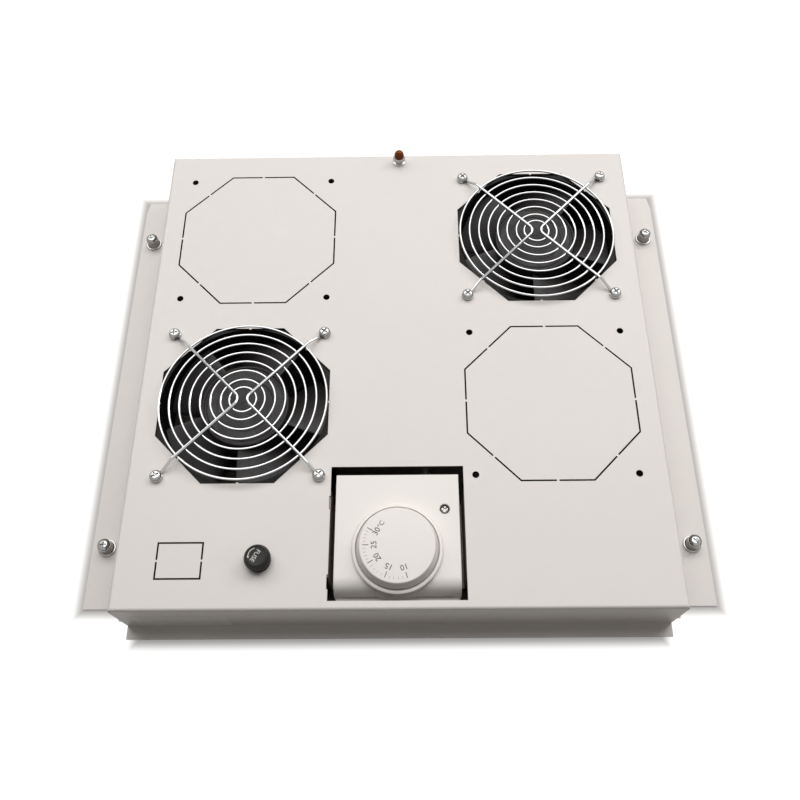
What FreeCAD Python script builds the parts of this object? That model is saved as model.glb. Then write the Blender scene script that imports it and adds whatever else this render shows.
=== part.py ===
import FreeCAD, Part
import math
import os

from FreeCAD import Placement, Rotation, Vector

# Rack fan tray: a folded sheet box, open underneath, that carries two mains fans, a room
# thermostat, a panel fuse and a pilot lamp, with two more fan positions left as knock-outs.
# Millimetres. The origin is the middle of the deck's outline, in the plane that the rim rests on.
# +X to the right, +Y to the rear, +Z up. The thermostat is at the front.

# ---- folded tray ----
SHEET = 1.5
DECK_WIDTH = 350.0
DECK_DEPTH = 350.0
TRAY_HEIGHT = 46.0
BEND_OUTER = 2.0
BEND_INNER = 0.5
LIP_REACH = 8.5
FLANGE_REACH = 31.0
FLANGE_END_GAP = 10.5
ROOT_STRIP_REACH = 6.5
ROOT_STRIP_END_GAP = 3.0
FLANGE_CHAMFER_ALONG = 10.0
FLANGE_CHAMFER_ACROSS = 2.2

# ---- axial fans, hung under the deck ----
FAN_SIZE = 120.0
FAN_DEPTH = 38.0
FAN_HOLE_INSET = 7.5
FAN_HOLE = 4.6
FAN_PLATE = 4.0
FAN_CORNER = 5.0
FAN_WALL = 3.0
FAN_BARREL_WALL = 2.6
REAR_ROW_MARGIN = 17.5
FRONT_ROW_MARGIN = 77.5
FAN_WINDOW_GAP = 0.5
FAN_OPENING_INSET = 3.3
HUB_DIAMETER = 60.0
HUB_WALL = 3.0
HUB_DEPTH = 27.0
HUB_DROP = 2.2
HUB_BEAD = 1.2
TIP_CLEARANCE = 1.5
BLADE_COUNT = 5
BLADE_THICKNESS = 1.6
BLADE_ROOT_SPREAD = 29.0
BLADE_TIP_SPREAD = 26.0
BLADE_REST_ANGLE = -67.0
BLADE_TOP_GAP = 4.0
BLADE_RISE_ROOT = 21.0
BLADE_RISE_TIP = 15.5
BLADE_CAMBER = 2.4
BLADE_OVERRUN = 0.35
SPIDER_ARM_WIDTH = 5.0
SPIDER_DEPTH = 3.0
STATOR_CUP = 62.0
BEARING_OUTER = 12.0
BEARING_LENGTH = 5.0
BEARING_TUBE_WALL = 2.8
FAN_SHAFT = 5.0
RUNNING_FIT = 0.05
WINDING_OUTER = 40.0
CORE_AIR_GAP = 1.2
STATOR_FIT = 0.05
STATOR_LIFT = 2.0
TUBE_TOP_GAP = 6.0
BEARING_SINK = 1.0
SHAFT_LIFT = 0.5
SPIDER_ROOT = 1.0
HUB_STEP_INNER = 19.0
HUB_STEP_OUTER = 26.0
HUB_STEP_SLOPE = 1.0

# ---- finger guards ----
RING_WIRE = 1.5
SPOKE_WIRE = 1.9
WIRE_SIDES = 6
FIRST_RING = 9.0
SECOND_RING = 14.75
RING_PITCH = 6.9
GUARD_RISE = 5.0
SPOKE_BEND = 8.0
SPOKE_SHOULDER = 3.0
LOOP_INNER = 4.6
WELD_SINK = 0.15

# ---- M4 hardware ----
M4 = 4.0
M4_HEAD = 7.8
M4_HEAD_HEIGHT = 2.7
M4_NUT_FLATS = 7.0
M4_NUT = 3.2
M4_END = 1.5
M4_CLEARANCE = 4.6
HEAD_SIDE = 0.5
HEAD_CROWN = 0.7

# ---- knock-outs ----
SLIT = 1.1
FAN_BRIDGE = 1.6
ROCKER_WIDTH = 28.0
ROCKER_DEPTH = 22.3
ROCKER_SIDE_MARGIN = 26.2
CONTROL_LINE = 30.5
ROCKER_BRIDGE = 1.3
BRIDGE_STUB = 0.7

# ---- thermostat and its window ----
WINDOW_WIDTH = 85.0
WINDOW_DEPTH = 85.5
WINDOW_FRONT_MARGIN = 5.5
NOTCH_DEPTH = 0.8
NOTCH_LENGTH = 9.0
NOTCH_PITCH = 50.0
NOTCH_FIRST = 11.5
THERMOSTAT_WIDTH = 78.4
THERMOSTAT_DEPTH = 76.0
THERMOSTAT_FRONT_GAP = 4.9
COVER_SUNK = 2.0
COVER_WALL = 2.0
COVER_NOSE = 10.0
COVER_EDGE = 1.5
BRACKET_DROP = 34.0
BRACKET_SHEET = 1.2
BRACKET_LENGTH = 56.0
BRACKET_EAR = 12.0
BASE_THICKNESS = 4.0
BASE_INSET = 0.4
BOSS_RIM = 3.0
BOSS_RISE = 3.0
BOSS_RECESS = 1.2
DIAL_BASE = 51.0
DIAL_TAPER = 4.0
DIAL_HEIGHT = 7.6
DIAL_EDGE = 1.2
DIAL_CENTRE_FROM_FRONT = 27.1
DIAL_GAP = 0.4
SPINDLE = 6.0
SPINDLE_GRIP = 5.0
SPINDLE_FOOT = 4.0
COVER_SCREW_X = 30.0
COVER_SCREW_FROM_REAR = 23.4
COVER_SCREW_WELL = 6.4
COVER_SCREW_HEAD = 5.6
COVER_SCREW_HEAD_HEIGHT = 1.8
COVER_SCREW_SINK = 2.6
COVER_SCREW_LENGTH = 12.0
COVER_POST_WALL = 1.2
M3_CLEARANCE = 3.4
BOSS_EDGE = 0.8
BUSH_WALL = 3.0
BUSH_HEIGHT = 5.0
BUSH_FLOOR = 1.0
CAM_BASE = 13.0
CAM_LOBE = 9.0
CAM_THROW = 3.4
CAM_THICKNESS = 3.0
CAPSULE_DIAMETER = 32.0
CAPSULE_RIM = 1.0
CAPSULE_NECK = 12.0
CAPSULE_NECK_HEIGHT = 3.0
CAPSULE_THICKNESS = 5.0
CAPSULE_X = -19.0
CAPSULE_FROM_REAR = 24.0
SWITCH_WIDTH = 6.4
SWITCH_LENGTH = 20.0
SWITCH_HEIGHT = 10.0
SWITCH_GAP = 4.0
SWITCH_TAG_PITCH = 7.0
TAG_THICKNESS = 0.8
TAG_WIDTH = 3.2
M3 = 3.0
VENT_LENGTH = 23.0
VENT_HEIGHT = 2.0
VENT_OFFSET = 22.5

# ---- panel fuse ----
FUSE_FROM_COLUMN = 17.5
FUSE_THREAD = 12.4
FUSE_FLANGE = 15.4
FUSE_FLANGE_HEIGHT = 1.4
FUSE_BODY_DEPTH = 33.0
FUSE_NUT_FLATS = 17.0
FUSE_NUT = 4.0
FUSE_CAP = 16.4
FUSE_CAP_HEIGHT = 8.6
FUSE_CAP_TOP = 13.6
CARTRIDGE = 5.0
CARTRIDGE_LENGTH = 20.0
CARTRIDGE_CAP = 5.0
CARTRIDGE_GLASS = 4.8
CARRIER = 7.2
CARRIER_CLEARANCE = 0.3
CARRIER_WALL = 1.2
HOLDER_FLOOR = 2.0
CARTRIDGE_LIFT = 4.0
CARRIER_WEB = 2.0
FUSE_TAG_WIDTH = 4.0
FUSE_TAG_LENGTH = 7.0
FUSE_SIDE_TAG_REACH = 5.0
FUSE_CAP_UNDERCUT = 1.0
FUSE_CAP_BELT_LOW = 3.0
FUSE_CAP_BELT_HIGH = 4.8
FUSE_CAP_EDGE = 0.7
PANEL_CLEARANCE = 0.2

# ---- pilot lamp ----
LAMP_X = 2.0
LAMP_REAR_MARGIN = 6.5
LAMP_BARREL = 5.8
LAMP_COLLAR = 8.0
LAMP_COLLAR_HEIGHT = 1.5
LAMP_TAIL = 18.0
LAMP_NUT_FLATS = 8.0
LAMP_NUT_FLANGE = 9.8
LAMP_NUT_FLANGE_HEIGHT = 0.8
LAMP_NUT_HEIGHT = 5.8
LAMP_DOME = 7.5
LAMP_DOME_HEIGHT = 6.0

# ---- captive screws in the side flanges ----
CAPTIVE_EDGE_MARGIN = 10.0
CAPTIVE_SPACING_Y = 248.0
FERRULE_FLANGE_REACH = 1.2
FERRULE_FLANGE_HEIGHT = 1.0
FERRULE_WALL = 0.7
FERRULE_MOUTH_WALL = 0.4
FERRULE_HEIGHT = 8.0
FERRULE_SPIGOT = 7.9
FERRULE_FLOOR = 0.6
CAPTIVE_HEAD = 7.6
CAPTIVE_HEAD_HEIGHT = 2.4
HEAD_CLEARANCE = 0.3
HEAD_SINK = 0.9
TIP_SINK = 0.3
SEAT_THICKNESS = 0.5
SPRING_WIRE = 0.5
SPRING_TURNS = 4
SPRING_MEAN = 6.0

# ---- mains entry, terminals and earth ----
GROMMET_X = -24.0
GROMMET_HEIGHT = 22.0
GROMMET_HOLE = 13.0
GROMMET_FLANGE = 17.0
GROMMET_LIP = 2.0
GROMMET_MEMBRANE = 1.0
GROMMET_WALL = 2.0
BLOCK_X = 0.0
BLOCK_REAR_MARGIN = 75.0
BLOCK_POLES = 6
BLOCK_PITCH = 8.0
BLOCK_DEPTH = 16.0
BLOCK_FOOT = 6.0
BLOCK_HEIGHT = 13.0
BLOCK_EAR = 6.0
BLOCK_STUD = 2.9
BLOCK_STUD_LENGTH = 9.0
TERMINAL_SCREW = 3.4
TERMINAL_SINK = 0.8
TERMINAL_REACH = 3.0
CHAMBER_GAP = 1.0
CHAMBER_INSET = 2.0
PUSH_NUT = 5.4
PUSH_NUT_THICKNESS = 1.2
EARTH_X = 24.0
EARTH_REAR_MARGIN = 32.0
EARTH_STUD_LENGTH = 14.0
EARTH_WASHER = 9.0
EARTH_WASHER_THICKNESS = 0.8

# ---- sheathed leads under the deck ----
LEAD = 4.6
LEAD_BEND = 7.0
LEAD_FREE_SPAN = 60.0
LEAD_HOLE_CLEARANCE = 0.3
CLIP_WIDTH = 9.0
CLIP_LENGTH = 6.0
CLIP_FLOOR = 1.2
FAN_LEAD_SHIFT = 42.0
SIDE_AISLE = 5.2
MIDDLE_AISLE = 21.0

# ---- sizes that follow ----
HALF_WIDTH = DECK_WIDTH / 2
HALF_DEPTH = DECK_DEPTH / 2
DECK_UNDER = TRAY_HEIGHT - SHEET
FAN_COLUMN = WINDOW_WIDTH / 2 + FAN_WINDOW_GAP + FAN_SIZE / 2
REAR_ROW = HALF_DEPTH - REAR_ROW_MARGIN - FAN_SIZE / 2
FRONT_ROW = -HALF_DEPTH + FRONT_ROW_MARGIN + FAN_SIZE / 2
FAN_HOLE_REACH = FAN_SIZE / 2 - FAN_HOLE_INSET
FAN_BORE = FAN_SIZE - 2 * FAN_WALL
OPENING_APOTHEM = FAN_SIZE / 2 - FAN_OPENING_INSET
RING_COUNT = 2 + int((OPENING_APOTHEM - SECOND_RING) / RING_PITCH)
FANS = {"front": (-FAN_COLUMN, FRONT_ROW), "rear": (FAN_COLUMN, REAR_ROW)}
SPARE_BAYS = [(-FAN_COLUMN, REAR_ROW), (FAN_COLUMN, FRONT_ROW)]
WINDOW_FRONT = -HALF_DEPTH + WINDOW_FRONT_MARGIN
THERMOSTAT_FRONT = WINDOW_FRONT + THERMOSTAT_FRONT_GAP
THERMOSTAT_REAR = THERMOSTAT_FRONT + THERMOSTAT_DEPTH
COVER_TOP = TRAY_HEIGHT - COVER_SUNK
BRACKET_FLOOR = DECK_UNDER - BRACKET_DROP
BASE_BOTTOM = BRACKET_FLOOR + BRACKET_SHEET
BASE_TOP = BASE_BOTTOM + BASE_THICKNESS
BOSS_TOP = COVER_TOP + BOSS_RISE
BOSS_DIAMETER = DIAL_BASE + 2 * BOSS_RIM
DIAL_TOP = DIAL_BASE - DIAL_TAPER
DIAL_BOTTOM = BOSS_TOP - BOSS_RECESS + DIAL_GAP
DIAL_Y = THERMOSTAT_FRONT + DIAL_CENTRE_FROM_FRONT
BUSH_TOP = BASE_TOP + BUSH_HEIGHT
SPINDLE_STEP = BUSH_TOP + DIAL_GAP
THERMOSTAT_MIDDLE = (THERMOSTAT_FRONT + THERMOSTAT_REAR) / 2
CONTROL_Y = -HALF_DEPTH + CONTROL_LINE
ROCKER_X = -HALF_WIDTH + ROCKER_SIDE_MARGIN + ROCKER_WIDTH / 2
FUSE_X = -FAN_COLUMN + FUSE_FROM_COLUMN
LAMP_Y = HALF_DEPTH - LAMP_REAR_MARGIN
CAPTIVE_X = HALF_WIDTH + FLANGE_REACH - CAPTIVE_EDGE_MARGIN
FERRULE_BORE = CAPTIVE_HEAD + 2 * HEAD_CLEARANCE
FERRULE_BARREL = FERRULE_BORE + 2 * FERRULE_WALL
FERRULE_BARREL_TOP = FERRULE_BORE + 2 * FERRULE_MOUTH_WALL
FERRULE_FLANGE = FERRULE_BARREL + 2 * FERRULE_FLANGE_REACH
FERRULE_TOP = SHEET + FERRULE_HEIGHT
SPRING_FOOT = SHEET + FERRULE_FLOOR
CAPTIVE_HEAD_UNDER = FERRULE_TOP - HEAD_SINK
SEAT_UNDER = CAPTIVE_HEAD_UNDER - SEAT_THICKNESS
BLOCK_Y = HALF_DEPTH - BLOCK_REAR_MARGIN
LEAD_Z = DECK_UNDER - (BLOCK_HEIGHT + BLOCK_FOOT) / 2
SWITCH_X = CAM_THROW + CAM_LOBE / 2 + SWITCH_GAP + SWITCH_WIDTH
EARTH_Y = HALF_DEPTH - EARTH_REAR_MARGIN
CAPTIVE_PLACES = {
    "rear_left": (-CAPTIVE_X, CAPTIVE_SPACING_Y / 2),
    "rear_right": (CAPTIVE_X, CAPTIVE_SPACING_Y / 2),
    "front_left": (-CAPTIVE_X, -CAPTIVE_SPACING_Y / 2),
    "front_right": (CAPTIVE_X, -CAPTIVE_SPACING_Y / 2),
}
SLACK = 1.0  # how far a cutting tool runs past the face that it cuts
ALIGNED = 0.99  # cosine above which two directions count as the same


# ---- building blocks ----
def block(x0, x1, y0, y1, z0, z1):
    """A box between two corners."""
    return Part.makeBox(x1 - x0, y1 - y0, z1 - z0, Vector(x0, y0, z0))


def slab(width, depth, z0, z1, at=(0, 0)):
    """A box centred on a point in plan."""
    x, y = at
    return block(x - width / 2, x + width / 2, y - depth / 2, y + depth / 2, z0, z1)


def rod(diameter, z0, z1, at=(0, 0)):
    """An upright cylinder."""
    return Part.makeCylinder(diameter / 2, z1 - z0, Vector(at[0], at[1], z0))


def pipe(outer, inner, z0, z1, at=(0, 0)):
    """An upright tube."""
    return rod(outer, z0, z1, at).cut(rod(inner, z0 - SLACK, z1 + SLACK, at))


def cone(lower, upper, z0, z1, at=(0, 0)):
    """An upright frustum, by its two diameters."""
    return Part.makeCone(lower / 2, upper / 2, z1 - z0, Vector(at[0], at[1], z0))


def prism(points, z0, z1):
    """A polygon in plan, raised from z0 to z1."""
    corners = [Vector(x, y, z0) for x, y in points]
    face = Part.Face(Part.makePolygon(corners + corners[:1]))
    return face.extrude(Vector(0, 0, z1 - z0))


def polygon_points(sides, apothem, at=(0, 0)):
    """Corners of a regular polygon whose flats face the axes."""
    radius = apothem / math.cos(math.pi / sides)
    steps = [(k + 0.5) * 2 * math.pi / sides for k in range(sides)]
    return [(at[0] + radius * math.cos(a), at[1] + radius * math.sin(a)) for a in steps]


def polygon_prism(sides, apothem, z0, z1, at=(0, 0)):
    """A regular prism, such as a nut or an octagonal cut-out."""
    return prism(polygon_points(sides, apothem, at), z0, z1)


def rounded_slab(size, corner, z0, z1, at=(0, 0)):
    """A square plate with round corners."""
    plate = slab(size, size, z0, z1, at)
    upright = [e for e in plate.Edges if abs(e.tangentAt(e.FirstParameter).z) > 0.9]
    return plate.makeFillet(corner, upright)


def turned(profile, at=(0, 0)):
    """A solid of revolution about the upright axis through a point; profile is (radius, z)."""
    corners = [Vector(at[0] + r, at[1], z) for r, z in profile]
    face = Part.Face(Part.makePolygon(corners + corners[:1]))
    return face.revolve(Vector(at[0], at[1], 0), Vector(0, 0, 1), 360)


def fused(shapes):
    """One solid out of several that touch or overlap."""
    first, rest = shapes[0], shapes[1:]
    return first.multiFuse(rest).removeSplitter() if rest else first


def spun(shape, degrees, at=(0, 0)):
    """A copy turned about the upright axis through a point."""
    copy = shape.copy()
    copy.rotate(Vector(at[0], at[1], 0), Vector(0, 0, 1), degrees)
    return copy


def moved(shape, x, y, z=0.0):
    """A copy shifted in space."""
    copy = shape.copy()
    copy.translate(Vector(x, y, z))
    return copy


def corners_of(reach, at=(0, 0)):
    """Four points at the corners of a square."""
    return [(at[0] + i * reach, at[1] + j * reach) for i in (-1, 1) for j in (-1, 1)]


def save(name, shapes):
    """Write one node: a solid, or a group of identical separate solids."""
    group = shapes if isinstance(shapes, list) else [shapes]
    solids = [solid for shape in group for solid in shape.Solids]
    for solid in solids:
        if not solid.isValid():
            raise ValueError(name + " holds a solid that is not valid")
    shape = solids[0] if len(solids) == 1 else Part.makeCompound(solids)
    shape.exportStep("parts/" + name + ".step")
    print(name, len(solids), round(shape.Volume, 1))


# ---- tray ----
def edges_at(shape, z, direction):
    """Straight edges that lie at one height and run along one direction."""
    found = []
    for edge in shape.Edges:
        level = all(abs(v.Z - z) < 1e-6 for v in edge.Vertexes)
        if level and abs(edge.tangentAt(edge.FirstParameter).dot(direction)) > ALIGNED:
            found.append(edge)
    return found


def folded_box():
    """Deck and four walls, bent from one sheet and open underneath."""
    outer = slab(DECK_WIDTH, DECK_DEPTH, 0, TRAY_HEIGHT)
    top = edges_at(outer, TRAY_HEIGHT, Vector(1, 0, 0)) + edges_at(outer, TRAY_HEIGHT, Vector(0, 1, 0))
    outer = outer.makeFillet(BEND_OUTER, top)
    inner = slab(DECK_WIDTH - 2 * SHEET, DECK_DEPTH - 2 * SHEET, -SLACK, DECK_UNDER)
    top = edges_at(inner, DECK_UNDER, Vector(1, 0, 0)) + edges_at(inner, DECK_UNDER, Vector(0, 1, 0))
    return outer.cut(inner.makeFillet(BEND_INNER, top))


def side_flange(side):
    """Fixing flange along one side, with a narrow strip at its root."""
    inner, outer = HALF_WIDTH - SHEET, HALF_WIDTH + FLANGE_REACH
    end = HALF_DEPTH - FLANGE_END_GAP
    outline = [
        (inner, -end),
        (outer, -end),
        (outer, end - FLANGE_CHAMFER_ALONG),
        (outer - FLANGE_CHAMFER_ACROSS, end),
        (inner, end),
    ]
    strip_end = HALF_DEPTH - ROOT_STRIP_END_GAP
    strip = slab(ROOT_STRIP_REACH + SHEET, 2 * strip_end, 0, SHEET)
    strip = moved(strip, inner + (ROOT_STRIP_REACH + SHEET) / 2, 0)
    flange = fused([prism(outline, 0, SHEET), strip])
    return flange if side > 0 else flange.mirror(Vector(0, 0, 0), Vector(1, 0, 0))


def end_lip(side):
    """Short lip turned outwards along the front or the rear wall."""
    near, far = HALF_DEPTH - SHEET, HALF_DEPTH + LIP_REACH
    low, high = sorted((side * near, side * far))
    return block(-HALF_WIDTH, HALF_WIDTH, low, high, 0, SHEET)


def octagon_slit(at):
    """Broken slit round a fan knock-out: eight bridges hold the blank in the deck."""
    low, high = DECK_UNDER - SLACK, TRAY_HEIGHT + SLACK
    slit = polygon_prism(8, OPENING_APOTHEM + SLIT / 2, low, high, at)
    slit = slit.cut(polygon_prism(8, OPENING_APOTHEM - SLIT / 2, low - SLACK, high + SLACK, at))
    bridge = slab(4 * SLIT, FAN_BRIDGE, low - SLACK, high + SLACK, (at[0] + OPENING_APOTHEM, at[1]))
    return slit.cut([spun(bridge, 45 * k, at) for k in range(8)])


def octagon_opening(at):
    """Open fan hole: the blank is out and eight bridge stubs are left on its edge."""
    low, high = DECK_UNDER - SLACK, TRAY_HEIGHT + SLACK
    rim = OPENING_APOTHEM + SLIT / 2
    hole = polygon_prism(8, rim, low, high, at)
    stub = slab(BRIDGE_STUB * 2, FAN_BRIDGE, low - SLACK, high + SLACK, (at[0] + rim, at[1]))
    return hole.cut([spun(stub, 45 * k, at) for k in range(8)])


def rocker_slit():
    """Broken slit round the switch knock-out, with one bridge on each short side."""
    low, high = DECK_UNDER - SLACK, TRAY_HEIGHT + SLACK
    at = (ROCKER_X, CONTROL_Y)
    slit = slab(ROCKER_WIDTH + SLIT, ROCKER_DEPTH + SLIT, low, high, at)
    slit = slit.cut(slab(ROCKER_WIDTH - SLIT, ROCKER_DEPTH - SLIT, low - SLACK, high + SLACK, at))
    return slit.cut(slab(ROCKER_WIDTH * 2, ROCKER_BRIDGE, low - SLACK, high + SLACK, at))


def deck_cutters():
    """Everything that is punched through the deck."""
    low, high = DECK_UNDER - SLACK, TRAY_HEIGHT + SLACK
    cutters = [octagon_slit(at) for at in SPARE_BAYS]
    cutters += [octagon_opening(at) for at in FANS.values()]
    for at in list(FANS.values()) + SPARE_BAYS:
        cutters += [rod(M4_CLEARANCE, low, high, hole) for hole in corners_of(FAN_HOLE_REACH, at)]
    window_y = WINDOW_FRONT + WINDOW_DEPTH / 2
    cutters.append(slab(WINDOW_WIDTH, WINDOW_DEPTH, low, high, (0, window_y)))
    for k in range(2):
        notch_at = (-WINDOW_WIDTH / 2, WINDOW_FRONT + NOTCH_FIRST + k * NOTCH_PITCH)
        cutters.append(slab(2 * NOTCH_DEPTH, NOTCH_LENGTH, low, high, notch_at))
    cutters.append(rocker_slit())
    cutters.append(rod(FUSE_THREAD + PANEL_CLEARANCE, low, high, (FUSE_X, CONTROL_Y)))
    cutters.append(rod(LAMP_BARREL + PANEL_CLEARANCE, low, high, (LAMP_X, LAMP_Y)))
    return cutters


def bracket_studs():
    """Places of the four studs that hold the thermostat bracket."""
    x = WINDOW_WIDTH / 2 + BRACKET_EAR / 2 + BRACKET_SHEET
    reach = BRACKET_LENGTH / 2 - BRACKET_EAR / 2
    return [(i * x, THERMOSTAT_MIDDLE + j * reach) for i in (-1, 1) for j in (-1, 1)]


def block_studs():
    """Places of the two studs that hold the terminal block."""
    reach = (BLOCK_POLES * BLOCK_PITCH + BLOCK_EAR) / 2
    return [(BLOCK_X, BLOCK_Y - reach), (BLOCK_X, BLOCK_Y + reach)]


def make_tray():
    """The folded sheet with its welded studs."""
    tray = fused([folded_box(), side_flange(1), side_flange(-1), end_lip(1), end_lip(-1)])
    tray = tray.cut(deck_cutters())
    holes = [rod(FERRULE_SPIGOT, -SLACK, SHEET + SLACK, at) for at in CAPTIVE_PLACES.values()]
    gland = Part.makeCylinder(
        GROMMET_HOLE / 2,
        SHEET + 2 * SLACK,
        Vector(GROMMET_X, HALF_DEPTH - SHEET - SLACK, GROMMET_HEIGHT),
        Vector(0, 1, 0),
    )
    tray = tray.cut(holes + [gland])
    bracket_stud_end = DECK_UNDER - BRACKET_SHEET - M4_NUT - M4_END
    studs = [rod(M4, bracket_stud_end, DECK_UNDER, at) for at in bracket_studs()]
    studs += [rod(BLOCK_STUD, DECK_UNDER - BLOCK_STUD_LENGTH, DECK_UNDER, at) for at in block_studs()]
    studs.append(rod(M4, DECK_UNDER - EARTH_STUD_LENGTH, DECK_UNDER, (EARTH_X, EARTH_Y)))
    return fused([tray] + studs)


# ---- fans ----
FAN_TOP = DECK_UNDER
FAN_BOTTOM = FAN_TOP - FAN_DEPTH
HUB_TOP = FAN_TOP - HUB_DROP
CUP_TOP = FAN_BOTTOM + SPIDER_DEPTH
TUBE_OUTER = BEARING_OUTER + 2 * BEARING_TUBE_WALL
TUBE_TOP = HUB_TOP - HUB_WALL - TUBE_TOP_GAP
UPPER_BEARING = TUBE_TOP - BEARING_SINK - BEARING_LENGTH
LOWER_BEARING = FAN_BOTTOM + SPIDER_DEPTH


def make_fan_frame():
    """Cast square frame with a round duct, a four-armed spider and the bearing tube."""
    barrel_outer = FAN_BORE + 2 * FAN_BARREL_WALL
    body = fused(
        [
            rounded_slab(FAN_SIZE, FAN_CORNER, FAN_TOP - FAN_PLATE, FAN_TOP),
            rounded_slab(FAN_SIZE, FAN_CORNER, FAN_BOTTOM, FAN_BOTTOM + FAN_PLATE),
            rod(barrel_outer, FAN_BOTTOM, FAN_TOP),
        ]
    )
    cutters = [rod(FAN_BORE, FAN_BOTTOM - SLACK, FAN_TOP + SLACK)]
    for hole in corners_of(FAN_HOLE_REACH):
        cutters.append(rod(FAN_HOLE, FAN_BOTTOM - SLACK, FAN_TOP + SLACK, hole))
    body = body.cut(cutters)
    arm = slab(FAN_BORE / 2, SPIDER_ARM_WIDTH, FAN_BOTTOM, CUP_TOP, (FAN_BORE / 4 + SPIDER_ROOT, 0))
    arms = [spun(arm, 45 + 90 * k) for k in range(4)]
    cup = rod(STATOR_CUP, FAN_BOTTOM, CUP_TOP)
    tube = rod(TUBE_OUTER, FAN_BOTTOM, TUBE_TOP)
    frame = fused([body, cup, tube] + arms)
    bore = rod(BEARING_OUTER, LOWER_BEARING, TUBE_TOP + SLACK)
    return frame.cut(bore)


def make_stator():
    """Laminated core with its winding, pushed over the bearing tube."""
    inner = TUBE_OUTER / 2 + STATOR_FIT
    outer = WINDING_OUTER / 2
    low, high = CUP_TOP + STATOR_LIFT, TUBE_TOP - BEARING_SINK
    winding = (high - low) / 4
    core = HUB_DIAMETER / 2 - HUB_WALL - CORE_AIR_GAP
    return turned(
        [
            (inner, low),
            (outer, low),
            (outer, low + winding),
            (core, low + winding),
            (core, high - winding),
            (outer, high - winding),
            (outer, high),
            (inner, high),
        ]
    )


def make_bearings():
    """Two sleeve bearings, one at each end of the bearing tube."""
    inner = FAN_SHAFT + 2 * RUNNING_FIT
    return [
        pipe(BEARING_OUTER, inner, z, z + BEARING_LENGTH) for z in (LOWER_BEARING, UPPER_BEARING)
    ]


def make_fan_shaft():
    """Motor shaft, pressed into the hub's top."""
    return rod(FAN_SHAFT, LOWER_BEARING + SHAFT_LIFT, HUB_TOP - HUB_WALL / 2)


def blade_section(radius, half_width, lead, trail):
    """Closed outline of a cambered blade where it crosses a plane at one radius."""
    middle = (lead + trail) / 2 + BLADE_CAMBER
    sink = Vector(0, 0, -BLADE_THICKNESS)
    start, crown, end = (
        Vector(radius, -half_width, lead),
        Vector(radius, 0, middle),
        Vector(radius, half_width, trail),
    )
    upper = Part.Arc(start, crown, end).toShape()
    lower = Part.Arc(end + sink, crown + sink, start + sink).toShape()
    edges = [
        upper,
        Part.LineSegment(end, end + sink).toShape(),
        lower,
        Part.LineSegment(start + sink, start).toShape(),
    ]
    return Part.Wire(edges)


def make_blade():
    """One swept, twisted blade, trimmed to the hub and to the duct."""
    hub, tip = HUB_DIAMETER / 2, FAN_BORE / 2 - TIP_CLEARANCE
    root_turn = math.radians(BLADE_ROOT_SPREAD)
    tip_turn = math.radians(BLADE_TIP_SPREAD)
    root_x, tip_x = hub * math.cos(root_turn), tip * math.cos(tip_turn)
    root_w, tip_w = hub * math.sin(root_turn), tip * math.sin(tip_turn)
    top = HUB_TOP - BLADE_TOP_GAP
    sections = []
    for share in (-BLADE_OVERRUN, 1 + BLADE_OVERRUN):
        x = root_x + share * (tip_x - root_x)
        width = root_w + share * (tip_w - root_w)
        rise = BLADE_RISE_ROOT + share * (BLADE_RISE_TIP - BLADE_RISE_ROOT)
        centre = top - BLADE_RISE_ROOT / 2
        sections.append(blade_section(x, width, centre + rise / 2, centre - rise / 2))
    blade = Part.makeLoft(sections, True, True)
    duct = pipe(2 * tip, HUB_DIAMETER - HUB_WALL, HUB_TOP - HUB_DEPTH, HUB_TOP)
    return blade.common(duct)


def make_rotor():
    """Hub cup with a beaded rim and its blades."""
    outer, inner = HUB_DIAMETER / 2, HUB_DIAMETER / 2 - HUB_WALL
    low = HUB_TOP - HUB_DEPTH
    cup = turned(
        [
            (0, HUB_TOP - HUB_BEAD),
            (HUB_STEP_INNER, HUB_TOP - HUB_BEAD),
            (HUB_STEP_INNER + HUB_STEP_SLOPE, HUB_TOP - HUB_BEAD / 2),
            (HUB_STEP_OUTER, HUB_TOP - HUB_BEAD / 2),
            (HUB_STEP_OUTER + HUB_STEP_SLOPE, HUB_TOP),
            (outer - HUB_BEAD, HUB_TOP),
            (outer, HUB_TOP - HUB_BEAD),
            (outer, low),
            (inner, low),
            (inner, HUB_TOP - HUB_WALL),
            (0, HUB_TOP - HUB_WALL),
        ]
    )
    blade = make_blade()
    blades = [spun(blade, BLADE_REST_ANGLE + k * 360 / BLADE_COUNT) for k in range(BLADE_COUNT)]
    socket = rod(FAN_SHAFT, HUB_TOP - HUB_WALL - SLACK, HUB_TOP - HUB_WALL / 2)
    return fused([cup] + blades).cut(socket)


# ---- finger guards ----
def wire_section(wire):
    """Corners of a wire's section, kept to a few flats because so much wire repeats."""
    turns = [(k + 0.5) * 2 * math.pi / WIRE_SIDES for k in range(WIRE_SIDES)]
    return [(wire / 2 * math.cos(a), wire / 2 * math.sin(a)) for a in turns]


def wire_ring(radius, z, wire, at=(0, 0)):
    """A closed ring of wire, lying flat."""
    return turned([(radius + across, z + up) for across, up in wire_section(wire)], at)


def ring_radii():
    """Radii of the concentric rings, from the middle outwards."""
    return [FIRST_RING] + [SECOND_RING + k * RING_PITCH for k in range(RING_COUNT - 1)]


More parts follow.
